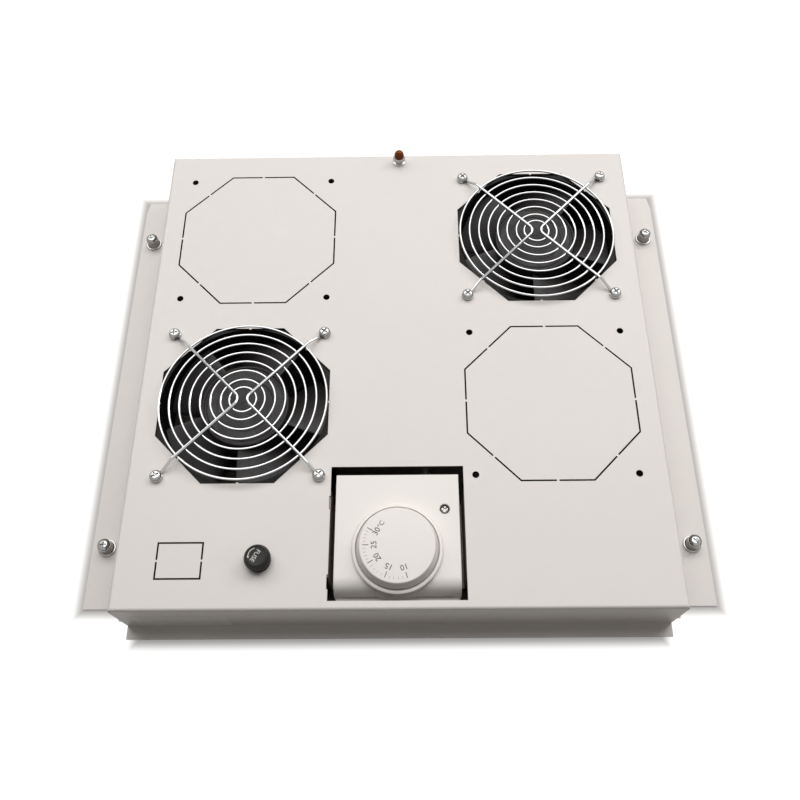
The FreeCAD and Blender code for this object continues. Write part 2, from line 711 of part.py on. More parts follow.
def spoke_path(side):
    """Centre line of one bent spoke: up from a fixing hole, in to the middle and back out."""
    ring_z = TRAY_HEIGHT + GUARD_RISE
    high = ring_z + (RING_WIRE + SPOKE_WIRE) / 2 - WELD_SINK
    low = TRAY_HEIGHT + SPOKE_WIRE / 2
    loop_reach = FAN_HOLE_REACH * math.sqrt(2) - (LOOP_INNER + SPOKE_WIRE) / 2
    shoulder = SECOND_RING + (RING_COUNT - 2) * RING_PITCH + SPOKE_SHOULDER
    diagonal = math.sqrt(0.5)

    def point(distance, way, z):
        return Vector(side * distance * diagonal, way * distance * diagonal, z)

    bend = Vector(side * SPOKE_BEND * (math.sqrt(2) - 1), 0, high)
    edges = [
        Part.LineSegment(point(loop_reach, 1, low), point(shoulder, 1, high)).toShape(),
        Part.LineSegment(point(shoulder, 1, high), point(SPOKE_BEND, 1, high)).toShape(),
        Part.Arc(point(SPOKE_BEND, 1, high), bend, point(SPOKE_BEND, -1, high)).toShape(),
        Part.LineSegment(point(SPOKE_BEND, -1, high), point(shoulder, -1, high)).toShape(),
        Part.LineSegment(point(shoulder, -1, high), point(loop_reach, -1, low)).toShape(),
    ]
    return Part.Wire(edges)


def make_spoke(side):
    """One spoke wire with the loops that its screws pass through."""
    path = spoke_path(side)
    first = path.Edges[0]
    start = first.valueAt(first.FirstParameter)
    direction = first.tangentAt(first.FirstParameter)
    across = direction.cross(Vector(0, 0, 1)).normalize()
    upward = across.cross(direction)
    corners = [start + across * i + upward * j for i, j in wire_section(SPOKE_WIRE)]
    section = Part.makePolygon(corners + corners[:1])
    spoke = path.makePipeShell([section], True, False, 2)
    loops = []
    for way in (-1, 1):
        at = (side * FAN_HOLE_REACH, way * FAN_HOLE_REACH)
        loops.append(wire_ring((LOOP_INNER + SPOKE_WIRE) / 2, TRAY_HEIGHT + SPOKE_WIRE / 2, SPOKE_WIRE, at))
    return fused([spoke] + loops)


def make_guard():
    """Finger guard: concentric rings welded under two bent spokes."""
    ring_z = TRAY_HEIGHT + GUARD_RISE
    rings = [wire_ring(radius, ring_z, RING_WIRE) for radius in ring_radii()]
    return fused([make_spoke(1), make_spoke(-1)] + rings)


# ---- fasteners ----
def hex_nut(flats, bore, z0, z1, at):
    """A plain hexagon nut."""
    return polygon_prism(6, flats / 2, z0, z1, at).cut(rod(bore, z0 - SLACK, z1 + SLACK, at))


def pan_screw(shank, head, head_height, under, tip, at):
    """A pan-head screw; under is the head's seat and tip the shank's free end."""
    crown = turned(
        [
            (0, under),
            (head / 2, under),
            (head / 2, under + head_height * HEAD_SIDE),
            (head / 2 * HEAD_CROWN, under + head_height),
            (0, under + head_height),
        ],
        at,
    )
    return fused([crown, rod(shank, tip, under, at)])


def make_guard_screws():
    """Eight screws through guard loop, deck and fan frame."""
    seat = TRAY_HEIGHT + SPOKE_WIRE
    tip = FAN_TOP - FAN_PLATE - M4_NUT - M4_END
    places = [hole for at in FANS.values() for hole in corners_of(FAN_HOLE_REACH, at)]
    return [pan_screw(M4, M4_HEAD, M4_HEAD_HEIGHT, seat, tip, at) for at in places]


def make_guard_nuts():
    """The nuts of those screws, under each fan frame's upper plate."""
    places = [hole for at in FANS.values() for hole in corners_of(FAN_HOLE_REACH, at)]
    top = FAN_TOP - FAN_PLATE
    return [hex_nut(M4_NUT_FLATS, M4, top - M4_NUT, top, at) for at in places]


def make_bracket_nuts():
    """Nuts on the studs of the thermostat bracket."""
    top = DECK_UNDER - BRACKET_SHEET
    return [hex_nut(M4_NUT_FLATS, M4, top - M4_NUT, top, at) for at in bracket_studs()]


# ---- thermostat ----
def make_bracket():
    """Folded cradle that hangs under the window: two ears, two uprights and a floor."""
    half_inner = WINDOW_WIDTH / 2
    half_outer = half_inner + BRACKET_SHEET
    low, high = THERMOSTAT_MIDDLE - BRACKET_LENGTH / 2, THERMOSTAT_MIDDLE + BRACKET_LENGTH / 2
    floor = block(-half_outer, half_outer, low, high, BRACKET_FLOOR, BASE_BOTTOM)
    ear_top = DECK_UNDER
    ear_under = DECK_UNDER - BRACKET_SHEET
    pieces = [floor]
    for side in (-1, 1):
        x0, x1 = sorted((side * half_inner, side * half_outer))
        pieces.append(block(x0, x1, low, high, BRACKET_FLOOR, ear_top))
        x0, x1 = sorted((side * half_inner, side * (half_outer + BRACKET_EAR)))
        pieces.append(block(x0, x1, low, high, ear_under, ear_top))
    bracket = fused(pieces)
    cutters = [rod(M4_CLEARANCE, ear_under - SLACK, ear_top + SLACK, at) for at in bracket_studs()]
    cutters += [
        rod(M3, BRACKET_FLOOR - SLACK, BASE_BOTTOM + SLACK, at) for at in base_screw_places()
    ]
    return bracket.cut(cutters)


def base_screw_places():
    """Where two screws hold the thermostat's base to the bracket."""
    return [(side * THERMOSTAT_WIDTH / 4, THERMOSTAT_MIDDLE + BRACKET_LENGTH / 4) for side in (-1, 1)]


def cover_screw_place():
    """Where the cover's screw stands."""
    return (COVER_SCREW_X, THERMOSTAT_REAR - COVER_SCREW_FROM_REAR)


def make_thermostat_base():
    """Moulded base plate with the spindle's bush and the post for the cover screw."""
    inset = COVER_WALL + BASE_INSET
    plate = slab(
        THERMOSTAT_WIDTH - 2 * inset,
        THERMOSTAT_DEPTH - 2 * inset,
        BASE_BOTTOM,
        BASE_TOP,
        (0, THERMOSTAT_MIDDLE),
    )
    bush = rod(SPINDLE_FOOT + 2 * BUSH_WALL, BASE_TOP, BUSH_TOP, (0, DIAL_Y))
    post_top = COVER_TOP - COVER_SCREW_SINK - COVER_WALL
    post_size = COVER_SCREW_WELL + 2 * COVER_POST_WALL
    post = rod(post_size, BASE_TOP, post_top, cover_screw_place())
    base = fused([plate, bush, post])
    foot_bore = rod(SPINDLE_FOOT + 2 * RUNNING_FIT, BASE_BOTTOM + BUSH_FLOOR, BUSH_TOP + SLACK, (0, DIAL_Y))
    bore_low = COVER_TOP - COVER_SCREW_SINK - COVER_SCREW_LENGTH - SLACK
    screw_bore = rod(M3, bore_low, post_top + SLACK, cover_screw_place())
    cutters = [foot_bore, screw_bore]
    cutters += [rod(M3, BASE_BOTTOM - SLACK, BASE_TOP + SLACK, at) for at in base_screw_places()]
    return base.cut(cutters)


def cover_outer():
    """Outside of the cover: a box with a round nose along its front."""
    body = block(
        -THERMOSTAT_WIDTH / 2,
        THERMOSTAT_WIDTH / 2,
        THERMOSTAT_FRONT,
        THERMOSTAT_REAR,
        BASE_BOTTOM,
        COVER_TOP,
    )
    top_x = edges_at(body, COVER_TOP, Vector(1, 0, 0))
    nose = [e for e in top_x if e.Vertexes[0].Y < THERMOSTAT_MIDDLE]
    body = body.makeFillet(COVER_NOSE, nose)
    upright = [e for e in body.Edges if abs(e.tangentAt(e.FirstParameter).z) > ALIGNED]
    rear = [e for e in upright if e.Vertexes[0].Y > THERMOSTAT_MIDDLE]
    return body.makeFillet(COVER_EDGE, rear)


def cover_inner():
    """Hollow of the cover, open underneath."""
    body = block(
        -THERMOSTAT_WIDTH / 2 + COVER_WALL,
        THERMOSTAT_WIDTH / 2 - COVER_WALL,
        THERMOSTAT_FRONT + COVER_WALL,
        THERMOSTAT_REAR - COVER_WALL,
        BASE_BOTTOM - SLACK,
        COVER_TOP - COVER_WALL,
    )
    top_x = edges_at(body, COVER_TOP - COVER_WALL, Vector(1, 0, 0))
    nose = [e for e in top_x if e.Vertexes[0].Y < THERMOSTAT_MIDDLE]
    return body.makeFillet(COVER_NOSE - COVER_WALL, nose)


def make_cover():
    """Moulded cover: round nose, raised ring for the dial, screw well and front vents."""
    dial = (0, DIAL_Y)
    boss_low = COVER_TOP - COVER_NOSE
    boss = rod(BOSS_DIAMETER, boss_low, BOSS_TOP, dial)
    boss = boss.makeFillet(BOSS_EDGE, [e for e in boss.Edges if e.Vertexes[0].Z > BOSS_TOP - 1e-6])
    boss_hollow = rod(BOSS_DIAMETER - 2 * COVER_WALL, boss_low - SLACK, COVER_TOP - COVER_WALL, dial)
    cover = fused([cover_outer(), boss]).cut([cover_inner(), boss_hollow])
    well_size = COVER_SCREW_WELL + 2 * COVER_POST_WALL
    well_low = COVER_TOP - COVER_SCREW_SINK - COVER_WALL
    well = rod(well_size, well_low, COVER_TOP, cover_screw_place())
    cover = fused([cover, well])
    cutters = [
        rod(DIAL_BASE + 2 * DIAL_GAP, BOSS_TOP - BOSS_RECESS, BOSS_TOP + SLACK, dial),
        rod(SPINDLE + 2 * DIAL_GAP, COVER_TOP - COVER_WALL - SLACK, BOSS_TOP + SLACK, dial),
        rod(COVER_SCREW_WELL, COVER_TOP - COVER_SCREW_SINK, COVER_TOP + SLACK, cover_screw_place()),
        rod(M3_CLEARANCE, BASE_TOP, COVER_TOP + SLACK, cover_screw_place()),
        Part.makeCylinder(
            LEAD / 2 + LEAD_HOLE_CLEARANCE,
            COVER_WALL + 2 * SLACK,
            Vector(SWITCH_X, THERMOSTAT_REAR - COVER_WALL - SLACK, LEAD_Z),
            Vector(0, 1, 0),
        ),
    ]
    vent_z = COVER_TOP - COVER_NOSE
    for side in (-1, 1):
        x = side * VENT_OFFSET
        cutters.append(
            block(
                x - VENT_LENGTH / 2,
                x + VENT_LENGTH / 2,
                THERMOSTAT_FRONT - SLACK,
                THERMOSTAT_FRONT + COVER_WALL + SLACK,
                vent_z - VENT_HEIGHT,
                vent_z,
            )
        )
    return cover.cut(cutters)


def make_cover_screw():
    """Screw that holds the cover to the post of the base."""
    seat = COVER_TOP - COVER_SCREW_SINK
    tip = seat - COVER_SCREW_LENGTH
    return pan_screw(M3, COVER_SCREW_HEAD, COVER_SCREW_HEAD_HEIGHT, seat, tip, cover_screw_place())


def make_base_screws():
    """Screws from under the bracket into the thermostat's base."""
    length = BRACKET_SHEET + BASE_THICKNESS
    screw = pan_screw(M3, COVER_SCREW_HEAD, COVER_SCREW_HEAD_HEIGHT, 0.0, -length, (0, 0))
    screw.rotate(Vector(0, 0, 0), Vector(1, 0, 0), 180)
    return [moved(screw, x, y, BRACKET_FLOOR) for x, y in base_screw_places()]


def make_dial():
    """Setting knob: tapered skirt, soft edge and a blind socket for the spindle."""
    low, high = DIAL_BOTTOM, DIAL_BOTTOM + DIAL_HEIGHT
    knob = cone(DIAL_BASE, DIAL_TOP, low, high, (0, DIAL_Y))
    rim = [e for e in knob.Edges if all(v.Z > high - 1e-6 for v in e.Vertexes)]
    knob = knob.makeFillet(DIAL_EDGE, rim)
    return knob.cut(rod(SPINDLE, low - SLACK, low + SPINDLE_GRIP, (0, DIAL_Y)))


def make_spindle():
    """Spindle: gripped by the dial, stepped down to run in the base's bush."""
    foot_low = BASE_BOTTOM + BUSH_FLOOR + RUNNING_FIT
    return fused(
        [
            rod(SPINDLE_FOOT, foot_low, SPINDLE_STEP, (0, DIAL_Y)),
            rod(SPINDLE, SPINDLE_STEP, DIAL_BOTTOM + SPINDLE_GRIP, (0, DIAL_Y)),
        ]
    )


def make_cam():
    """Cam on the spindle that loads the switch."""
    high = SPINDLE_STEP + CAM_THICKNESS
    at = (0, DIAL_Y)
    body = rod(CAM_BASE, SPINDLE_STEP, high, at)
    lobe = rod(CAM_LOBE, SPINDLE_STEP, high, (CAM_THROW, DIAL_Y))
    return fused([body, lobe]).cut(rod(SPINDLE, SPINDLE_STEP - SLACK, high + SLACK, at))


def make_capsule():
    """Gas-filled capsule that swells with heat, standing on the base."""
    neck, rim = CAPSULE_NECK / 2, CAPSULE_DIAMETER / 2
    low = BASE_TOP + CAPSULE_NECK_HEIGHT
    high = low + CAPSULE_THICKNESS
    profile = [
        (0, BASE_TOP),
        (neck, BASE_TOP),
        (neck, low),
        (rim - CAPSULE_RIM, low + CAPSULE_RIM),
        (rim, (low + high) / 2),
        (rim - CAPSULE_RIM, high),
        (0, high),
    ]
    return turned(profile, (CAPSULE_X, THERMOSTAT_REAR - CAPSULE_FROM_REAR))


def make_switch():
    """Snap-action switch beside the cam."""
    top = BASE_TOP + SWITCH_HEIGHT
    tag_top = LEAD_Z - LEAD / 2
    body = slab(SWITCH_WIDTH, SWITCH_LENGTH, BASE_TOP, top, (SWITCH_X, DIAL_Y))
    tags = [
        slab(TAG_THICKNESS, TAG_WIDTH, top, tag_top, (SWITCH_X, DIAL_Y + k * SWITCH_TAG_PITCH))
        for k in (-1, 0, 1)
    ]
    return fused([body] + tags)


# ---- fuse ----
FUSE_AT = (FUSE_X, CONTROL_Y)
FUSE_FACE = TRAY_HEIGHT + FUSE_FLANGE_HEIGHT
FUSE_LOW = TRAY_HEIGHT - FUSE_BODY_DEPTH
CARTRIDGE_LOW = FUSE_LOW + CARTRIDGE_LIFT
CARTRIDGE_HIGH = CARTRIDGE_LOW + CARTRIDGE_LENGTH


def make_fuse_body():
    """Threaded holder, let down through the deck, with its two solder tags."""
    flange = rod(FUSE_FLANGE, TRAY_HEIGHT, FUSE_FACE, FUSE_AT)
    thread = rod(FUSE_THREAD, FUSE_LOW, TRAY_HEIGHT, FUSE_AT)
    bore = rod(CARRIER + 2 * CARRIER_CLEARANCE, FUSE_LOW + HOLDER_FLOOR, FUSE_FACE + SLACK, FUSE_AT)
    body = fused([flange, thread]).cut(bore)
    end_tag = slab(FUSE_TAG_WIDTH, TAG_THICKNESS, FUSE_LOW - FUSE_TAG_LENGTH, FUSE_LOW, FUSE_AT)
    tag_low = LEAD_Z - TAG_THICKNESS / 2
    tag_reach = FUSE_THREAD / 2 + FUSE_SIDE_TAG_REACH
    wall = (FUSE_THREAD - CARRIER) / 2 - CARRIER_CLEARANCE
    tag_length = FUSE_SIDE_TAG_REACH + wall / 2
    tag_at = (FUSE_X - tag_reach + tag_length / 2, CONTROL_Y)
    side_tag = slab(tag_length, FUSE_TAG_WIDTH, tag_low, tag_low + TAG_THICKNESS, tag_at)
    return fused([body, end_tag, side_tag])


def make_fuse_nut():
    """Nut that clamps the holder under the deck."""
    return hex_nut(FUSE_NUT_FLATS, FUSE_THREAD, DECK_UNDER - FUSE_NUT, DECK_UNDER, FUSE_AT)


def make_fuse_cap():
    """Bayonet cap: grip with a chamfered top, and the neck that turns in the carrier."""
    low = FUSE_FACE + PANEL_CLEARANCE
    high = low + FUSE_CAP_HEIGHT
    outer, top = FUSE_CAP / 2, FUSE_CAP_TOP / 2
    grip = turned(
        [
            (0, low),
            (outer - FUSE_CAP_UNDERCUT, low),
            (outer, low + FUSE_CAP_BELT_LOW),
            (outer, low + FUSE_CAP_BELT_HIGH),
            (top, high - FUSE_CAP_EDGE),
            (top - FUSE_CAP_EDGE, high),
            (0, high),
        ],
        FUSE_AT,
    )
    neck_size = CARRIER - 2 * CARRIER_WALL - 2 * CARRIER_CLEARANCE
    neck = rod(neck_size, CARTRIDGE_HIGH + CARRIER_WEB + CARRIER_CLEARANCE, low, FUSE_AT)
    return fused([grip, neck])


def make_fuse_carrier():
    """Spring cup in the holder's bore: a socket for the cap's neck above, one for the fuse below."""
    low, high = CARTRIDGE_HIGH - CARTRIDGE_CAP, FUSE_FACE - CARRIER_CLEARANCE
    sleeve = rod(CARRIER, low, high, FUSE_AT)
    sockets = [
        rod(CARTRIDGE, low - SLACK, CARTRIDGE_HIGH, FUSE_AT),
        rod(CARRIER - 2 * CARRIER_WALL, CARTRIDGE_HIGH + CARRIER_WEB, high + SLACK, FUSE_AT),
    ]
    return sleeve.cut(sockets)


def make_fuse_link():
    """Glass tube of the cartridge fuse."""
    return rod(CARTRIDGE_GLASS, CARTRIDGE_LOW + CARTRIDGE_CAP, CARTRIDGE_HIGH - CARTRIDGE_CAP, FUSE_AT)


def make_fuse_ends():
    """Metal end caps of the cartridge fuse."""
    return [
        rod(CARTRIDGE, CARTRIDGE_LOW, CARTRIDGE_LOW + CARTRIDGE_CAP, FUSE_AT),
        rod(CARTRIDGE, CARTRIDGE_HIGH - CARTRIDGE_CAP, CARTRIDGE_HIGH, FUSE_AT),
    ]


# ---- pilot lamp ----
LAMP_AT = (LAMP_X, LAMP_Y)
LAMP_NUT_TOP = TRAY_HEIGHT + LAMP_NUT_HEIGHT


def make_lamp_body():
    """Lamp body, put up through the deck from below, with its collar and tail."""
    barrel = rod(LAMP_BARREL, DECK_UNDER, LAMP_NUT_TOP, LAMP_AT)
    collar = rod(LAMP_COLLAR, DECK_UNDER - LAMP_COLLAR_HEIGHT, DECK_UNDER, LAMP_AT)
    tail = rod(LAMP_BARREL, DECK_UNDER - LAMP_TAIL, DECK_UNDER - LAMP_COLLAR_HEIGHT, LAMP_AT)
    return fused([barrel, collar, tail])


def make_lamp_nut():
    """Plated hexagon bezel nut with a thin flange."""
    flange = rod(LAMP_NUT_FLANGE, TRAY_HEIGHT, TRAY_HEIGHT + LAMP_NUT_FLANGE_HEIGHT, LAMP_AT)
    low = TRAY_HEIGHT + LAMP_NUT_FLANGE_HEIGHT
    hexagon = hex_nut(LAMP_NUT_FLATS, LAMP_BARREL, low, LAMP_NUT_TOP, LAMP_AT)
    flange = flange.cut(rod(LAMP_BARREL, TRAY_HEIGHT - SLACK, low + SLACK, LAMP_AT))
    return fused([flange, hexagon])


def make_lamp_lens():
    """Domed lens over the end of the barrel."""
    radius = LAMP_DOME / 2
    straight = LAMP_DOME_HEIGHT - radius
    low = LAMP_NUT_TOP
    skirt = rod(LAMP_DOME, low, low + straight, LAMP_AT)
    dome = Part.makeSphere(radius, Vector(LAMP_X, LAMP_Y, low + straight))
    dome = dome.common(rod(LAMP_DOME + SLACK, low + straight, low + LAMP_DOME_HEIGHT + SLACK, LAMP_AT))
    return fused([skirt, dome])


# ---- captive screws ----
def make_ferrules():
    """Ferrules pressed into the side flanges, one round each captive screw."""
    inner = FERRULE_BORE / 2
    hole = M4 / 2 + HEAD_CLEARANCE
    flange_top = SHEET + FERRULE_FLANGE_HEIGHT
    profile = [
        (hole, 0),
        (FERRULE_SPIGOT / 2, 0),
        (FERRULE_SPIGOT / 2, SHEET),
        (FERRULE_FLANGE / 2, SHEET),
        (FERRULE_FLANGE / 2, flange_top),
        (FERRULE_BARREL / 2, flange_top),
        (FERRULE_BARREL_TOP / 2, FERRULE_TOP),
        (inner, FERRULE_TOP),
        (inner, SPRING_FOOT),
        (hole, SPRING_FOOT),
    ]
    return [turned(profile, at) for at in CAPTIVE_PLACES.values()]


def make_captive_screw(at):
    """One captive screw, sprung up so that its tip is inside the flange."""
    return pan_screw(M4, CAPTIVE_HEAD, CAPTIVE_HEAD_HEIGHT, CAPTIVE_HEAD_UNDER, TIP_SINK, at)


def make_captive_seat(at):
    """Thrust washer between a captive screw's head and its spring."""
    return pipe(CAPTIVE_HEAD, M4 + 2 * RUNNING_FIT, SEAT_UNDER, CAPTIVE_HEAD_UNDER, at)


def make_captive_spring(at):
    """Helical spring that holds a captive screw up."""
    radius = SPRING_MEAN / 2
    low = SPRING_FOOT + SPRING_WIRE / 2
    height = SEAT_UNDER - SPRING_WIRE / 2 - low
    path = Part.makeHelix(height / SPRING_TURNS, height, radius)
    size = SPRING_WIRE / 2
    corners = [Vector(radius + i * size, 0, j * size) for i, j in ((-1, -1), (1, -1), (1, 1), (-1, 1))]
    section = Part.makePolygon(corners + corners[:1])
    coil = Part.Wire(path.Edges).makePipeShell([section], True, True)
    return moved(coil, at[0], at[1], low)


# ---- mains entry, terminals and earth ----
def make_grommet():
    """Membrane grommet in the rear wall, closed until a cable is put through it."""
    wall_in, wall_out = HALF_DEPTH - SHEET, HALF_DEPTH
    profile = [
        (0, wall_in),
        (GROMMET_HOLE / 2 - GROMMET_WALL, wall_in),
        (GROMMET_HOLE / 2 - GROMMET_WALL, wall_in - GROMMET_LIP),
        (GROMMET_FLANGE / 2, wall_in - GROMMET_LIP),
        (GROMMET_FLANGE / 2, wall_in),
        (GROMMET_HOLE / 2, wall_in),
        (GROMMET_HOLE / 2, wall_out),
        (GROMMET_FLANGE / 2, wall_out),
        (GROMMET_FLANGE / 2, wall_out + GROMMET_LIP),
        (GROMMET_HOLE / 2 - GROMMET_WALL, wall_out + GROMMET_LIP),
        (GROMMET_HOLE / 2 - GROMMET_WALL, wall_in + GROMMET_MEMBRANE),
        (0, wall_in + GROMMET_MEMBRANE),
    ]
    upright = turned(profile)
    upright.Placement = Placement(Vector(GROMMET_X, 0, GROMMET_HEIGHT), Rotation(Vector(1, 0, 0), -90))
    return upright


def pole_places():
    """Middle of each pole of the terminal block."""
    first = BLOCK_Y - (BLOCK_POLES - 1) * BLOCK_PITCH / 2
    return [(BLOCK_X, first + k * BLOCK_PITCH) for k in range(BLOCK_POLES)]


def make_terminal_block():
    """Moulded strip: a foot with an ear at each end, and one raised chamber per pole."""
    length = BLOCK_POLES * BLOCK_PITCH
    foot_low = DECK_UNDER - BLOCK_FOOT
    foot = slab(BLOCK_DEPTH, length + 2 * BLOCK_EAR, foot_low, DECK_UNDER, (BLOCK_X, BLOCK_Y))
    width, depth = BLOCK_DEPTH - 2 * CHAMBER_INSET, BLOCK_PITCH - CHAMBER_GAP
    chambers = [slab(width, depth, DECK_UNDER - BLOCK_HEIGHT, foot_low, at) for at in pole_places()]
    body = fused([foot] + chambers)
    cutters = [rod(BLOCK_STUD, foot_low - SLACK, DECK_UNDER + SLACK, at) for at in block_studs()]
    for x, y in pole_places():
        for side in (-1, 1):
            well = (x + side * TERMINAL_REACH, y)
            cutters.append(rod(TERMINAL_SCREW, DECK_UNDER - BLOCK_HEIGHT - SLACK, foot_low, well))
    return body.cut(cutters)


def make_terminal_screws():
    """Clamping screws, two in each pole."""
    low = DECK_UNDER - BLOCK_HEIGHT + TERMINAL_SINK
    high = DECK_UNDER - BLOCK_FOOT
    places = [(x + side * TERMINAL_REACH, y) for x, y in pole_places() for side in (-1, 1)]
    return [rod(TERMINAL_SCREW, low, high, at) for at in places]


def make_block_nuts():
    """Push nuts on the studs of the terminal block."""
    top = DECK_UNDER - BLOCK_FOOT
    return [pipe(PUSH_NUT, BLOCK_STUD, top - PUSH_NUT_THICKNESS, top, at) for at in block_studs()]


def make_earth_washer():
    """Washer under the earth stud's nut."""
    return pipe(EARTH_WASHER, M4, DECK_UNDER - EARTH_WASHER_THICKNESS, DECK_UNDER, (EARTH_X, EARTH_Y))


def make_earth_nut():
    """Nut of the earth stud."""
    top = DECK_UNDER - EARTH_WASHER_THICKNESS
    return hex_nut(M4_NUT_FLATS, M4, top - M4_NUT, top, (EARTH_X, EARTH_Y))


# ---- sheathed leads ----
def lead_routes():
    """Corners of each lead's centre line in plan, from its own piece to the terminal block."""
    poles = [y for _, y in pole_places()]
    entries = [(poles[k] + poles[k + 1]) / 2 for k in range(0, BLOCK_POLES, 2)]
    face = BLOCK_DEPTH / 2 - CHAMBER_INSET
    left, right = BLOCK_X - face, BLOCK_X + face
    barrel = FAN_BORE / 2 + FAN_BARREL_WALL
    reach = math.sqrt(barrel**2 - (FAN_LEAD_SHIFT + LEAD / 2) ** 2)
    front_x, front_y = FANS["front"][0] + reach, FANS["front"][1] + FAN_LEAD_SHIFT
    rear_x, rear_y = FANS["rear"][0] - reach, FANS["rear"][1] - FAN_LEAD_SHIFT
    inner_left, inner_right = BLOCK_X - MIDDLE_AISLE, BLOCK_X + MIDDLE_AISLE
    outer_left, outer_right = inner_left - CLIP_WIDTH, inner_right + CLIP_WIDTH
    side_x = -HALF_WIDTH + SHEET + SIDE_AISLE
    between_fans = (FANS["front"][1] + REAR_ROW) / 2
    before_fan = FRONT_ROW - FAN_SIZE / 2 - CLIP_WIDTH
    tag_x = FUSE_X - FUSE_THREAD / 2 - FUSE_SIDE_TAG_REACH
    turn_x = tag_x - LEAD_BEND - LEAD / 2
    switch_end = DIAL_Y - SWITCH_LENGTH / 2
    lamp_y = LAMP_Y - LAMP_BARREL / 2
    lamp_turn = lamp_y - CLIP_WIDTH - LEAD_BEND
    return {
        "front_fan": [
            (front_x, front_y),
            (inner_left, front_y),
            (inner_left, entries[0]),
            (left, entries[0]),
        ],
        "rear_fan": [
            (rear_x, rear_y),
            (outer_right, rear_y),
            (outer_right, entries[1]),
            (right, entries[1]),
        ],
        "thermostat": [
            (SWITCH_X, switch_end),
            (SWITCH_X, THERMOSTAT_REAR),
            (SWITCH_X, entries[0]),
            (right, entries[0]),
        ],
        "lamp": [
            (LAMP_X, lamp_y),
            (LAMP_X, lamp_turn),
            (SWITCH_X, lamp_turn),
            (SWITCH_X, entries[2]),
            (right, entries[2]),
        ],
        "fuse": [
            (tag_x, CONTROL_Y),
            (turn_x, CONTROL_Y),
            (turn_x, before_fan),
            (side_x, before_fan),
            (side_x, between_fans),
            (outer_left, between_fans),
            (outer_left, entries[1]),
            (left, entries[1]),
        ],
    }


def lead_path(route):
    """Centre line of a lead: straight runs joined by tangent arcs."""
    points = [Vector(x, y, LEAD_Z) for x, y in route]
    start, edges = points[0], []
    for before, corner, after in zip(points, points[1:], points[2:]):
        back, ahead = (before - corner).normalize(), (after - corner).normalize()
        if back.dot(ahead) < -ALIGNED:
            continue
        half = back.getAngle(ahead) / 2
        first = corner + back * (LEAD_BEND / math.tan(half))
        last = corner + ahead * (LEAD_BEND / math.tan(half))
        inward = (back + ahead).normalize()
        centre = corner + inward * (LEAD_BEND / math.sin(half))
        edges.append(Part.LineSegment(start, first).toShape())
        edges.append(Part.Arc(first, centre - inward * LEAD_BEND, last).toShape())
        start = last
    edges.append(Part.LineSegment(start, points[-1]).toShape())
    return Part.Wire(edges)


def make_lead(route):
    """Round sheathed lead along its route, coped where it leaves a fan's barrel."""
    path = lead_path(route)
    first = path.Edges[0]
    direction = first.tangentAt(first.FirstParameter)
    section = Part.Wire(Part.Circle(first.valueAt(first.FirstParameter), direction, LEAD / 2).toShape())
    lead = path.makePipeShell([section], True, False)
    barrels = [rod(FAN_BORE + 2 * FAN_BARREL_WALL, FAN_BOTTOM, FAN_TOP, at) for at in FANS.values()]
    return lead.cut(barrels)


def make_lead_clips():
    """Saddle clips under the deck, spaced along every run too long to carry itself."""
    clips = []
    low = LEAD_Z - LEAD / 2 - CLIP_FLOOR
    for route in lead_routes().values():
        for (x0, y0), (x1, y1) in zip(route, route[1:]):
            length = math.hypot(x1 - x0, y1 - y0)
            count = int(length // LEAD_FREE_SPAN)
            along = Vector(x1 - x0, y1 - y0, 0).normalize()
            size = (CLIP_LENGTH, CLIP_WIDTH) if abs(along.x) > ALIGNED else (CLIP_WIDTH, CLIP_LENGTH)
            for k in range(count):
                share = (k + 0.5) / count
                at = Vector(x0 + share * (x1 - x0), y0 + share * (y1 - y0), LEAD_Z)
                saddle = slab(size[0], size[1], low, DECK_UNDER, (at.x, at.y))
                start = at - along * (CLIP_LENGTH / 2 + SLACK)
                hole = Part.makeCylinder(LEAD / 2, CLIP_LENGTH + 2 * SLACK, start, along)
                clips.append(saddle.cut(hole))
    return clips


# ---- build ----
def build_fans():
    """Both fans: the same pieces at two places."""
    pieces = {
        "frame": make_fan_frame(),
        "stator": make_stator(),
        "rotor": make_rotor(),
        "shaft": make_fan_shaft(),
    }
    bearings = make_bearings()
    guard = make_guard()
    for name, (x, y) in FANS.items():
        for piece, shape in pieces.items():
            save("fan_" + name + "_" + piece, moved(shape, x, y))
        save("fan_" + name + "_bearings", [moved(bearing, x, y) for bearing in bearings])
        save("guard_" + name, moved(guard, x, y))
    save("guard_screws", make_guard_screws())
    save("guard_nuts", make_guard_nuts())


def build_thermostat():
    """Thermostat with its cradle."""
    save("thermostat_bracket", make_bracket())
    save("bracket_nuts", make_bracket_nuts())
    save("thermostat_base", make_thermostat_base())
    save("thermostat_base_screws", make_base_screws())
    save("thermostat_cover", make_cover())
    save("thermostat_cover_screw", make_cover_screw())
    save("thermostat_dial", make_dial())
    save("thermostat_spindle", make_spindle())
    save("thermostat_cam", make_cam())
    save("thermostat_capsule", make_capsule())
    save("thermostat_switch", make_switch())


def build_controls():
    """Fuse and pilot lamp."""
    save("fuse_holder_body", make_fuse_body())
    save("fuse_holder_nut", make_fuse_nut())
    save("fuse_cap", make_fuse_cap())
    save("fuse_carrier", make_fuse_carrier())
    save("fuse_link", make_fuse_link())
    save("fuse_link_ends", make_fuse_ends())
    save("lamp_body", make_lamp_body())
    save("lamp_bezel_nut", make_lamp_nut())
    save("lamp_lens", make_lamp_lens())


def build_captive_screws():
    """Four spring-loaded screws in the side flanges."""
    save("captive_ferrules", make_ferrules())
    for place, at in CAPTIVE_PLACES.items():
        save("captive_screw_" + place, make_captive_screw(at))
        save("captive_washer_" + place, make_captive_seat(at))
        save("captive_spring_" + place, make_captive_spring(at))


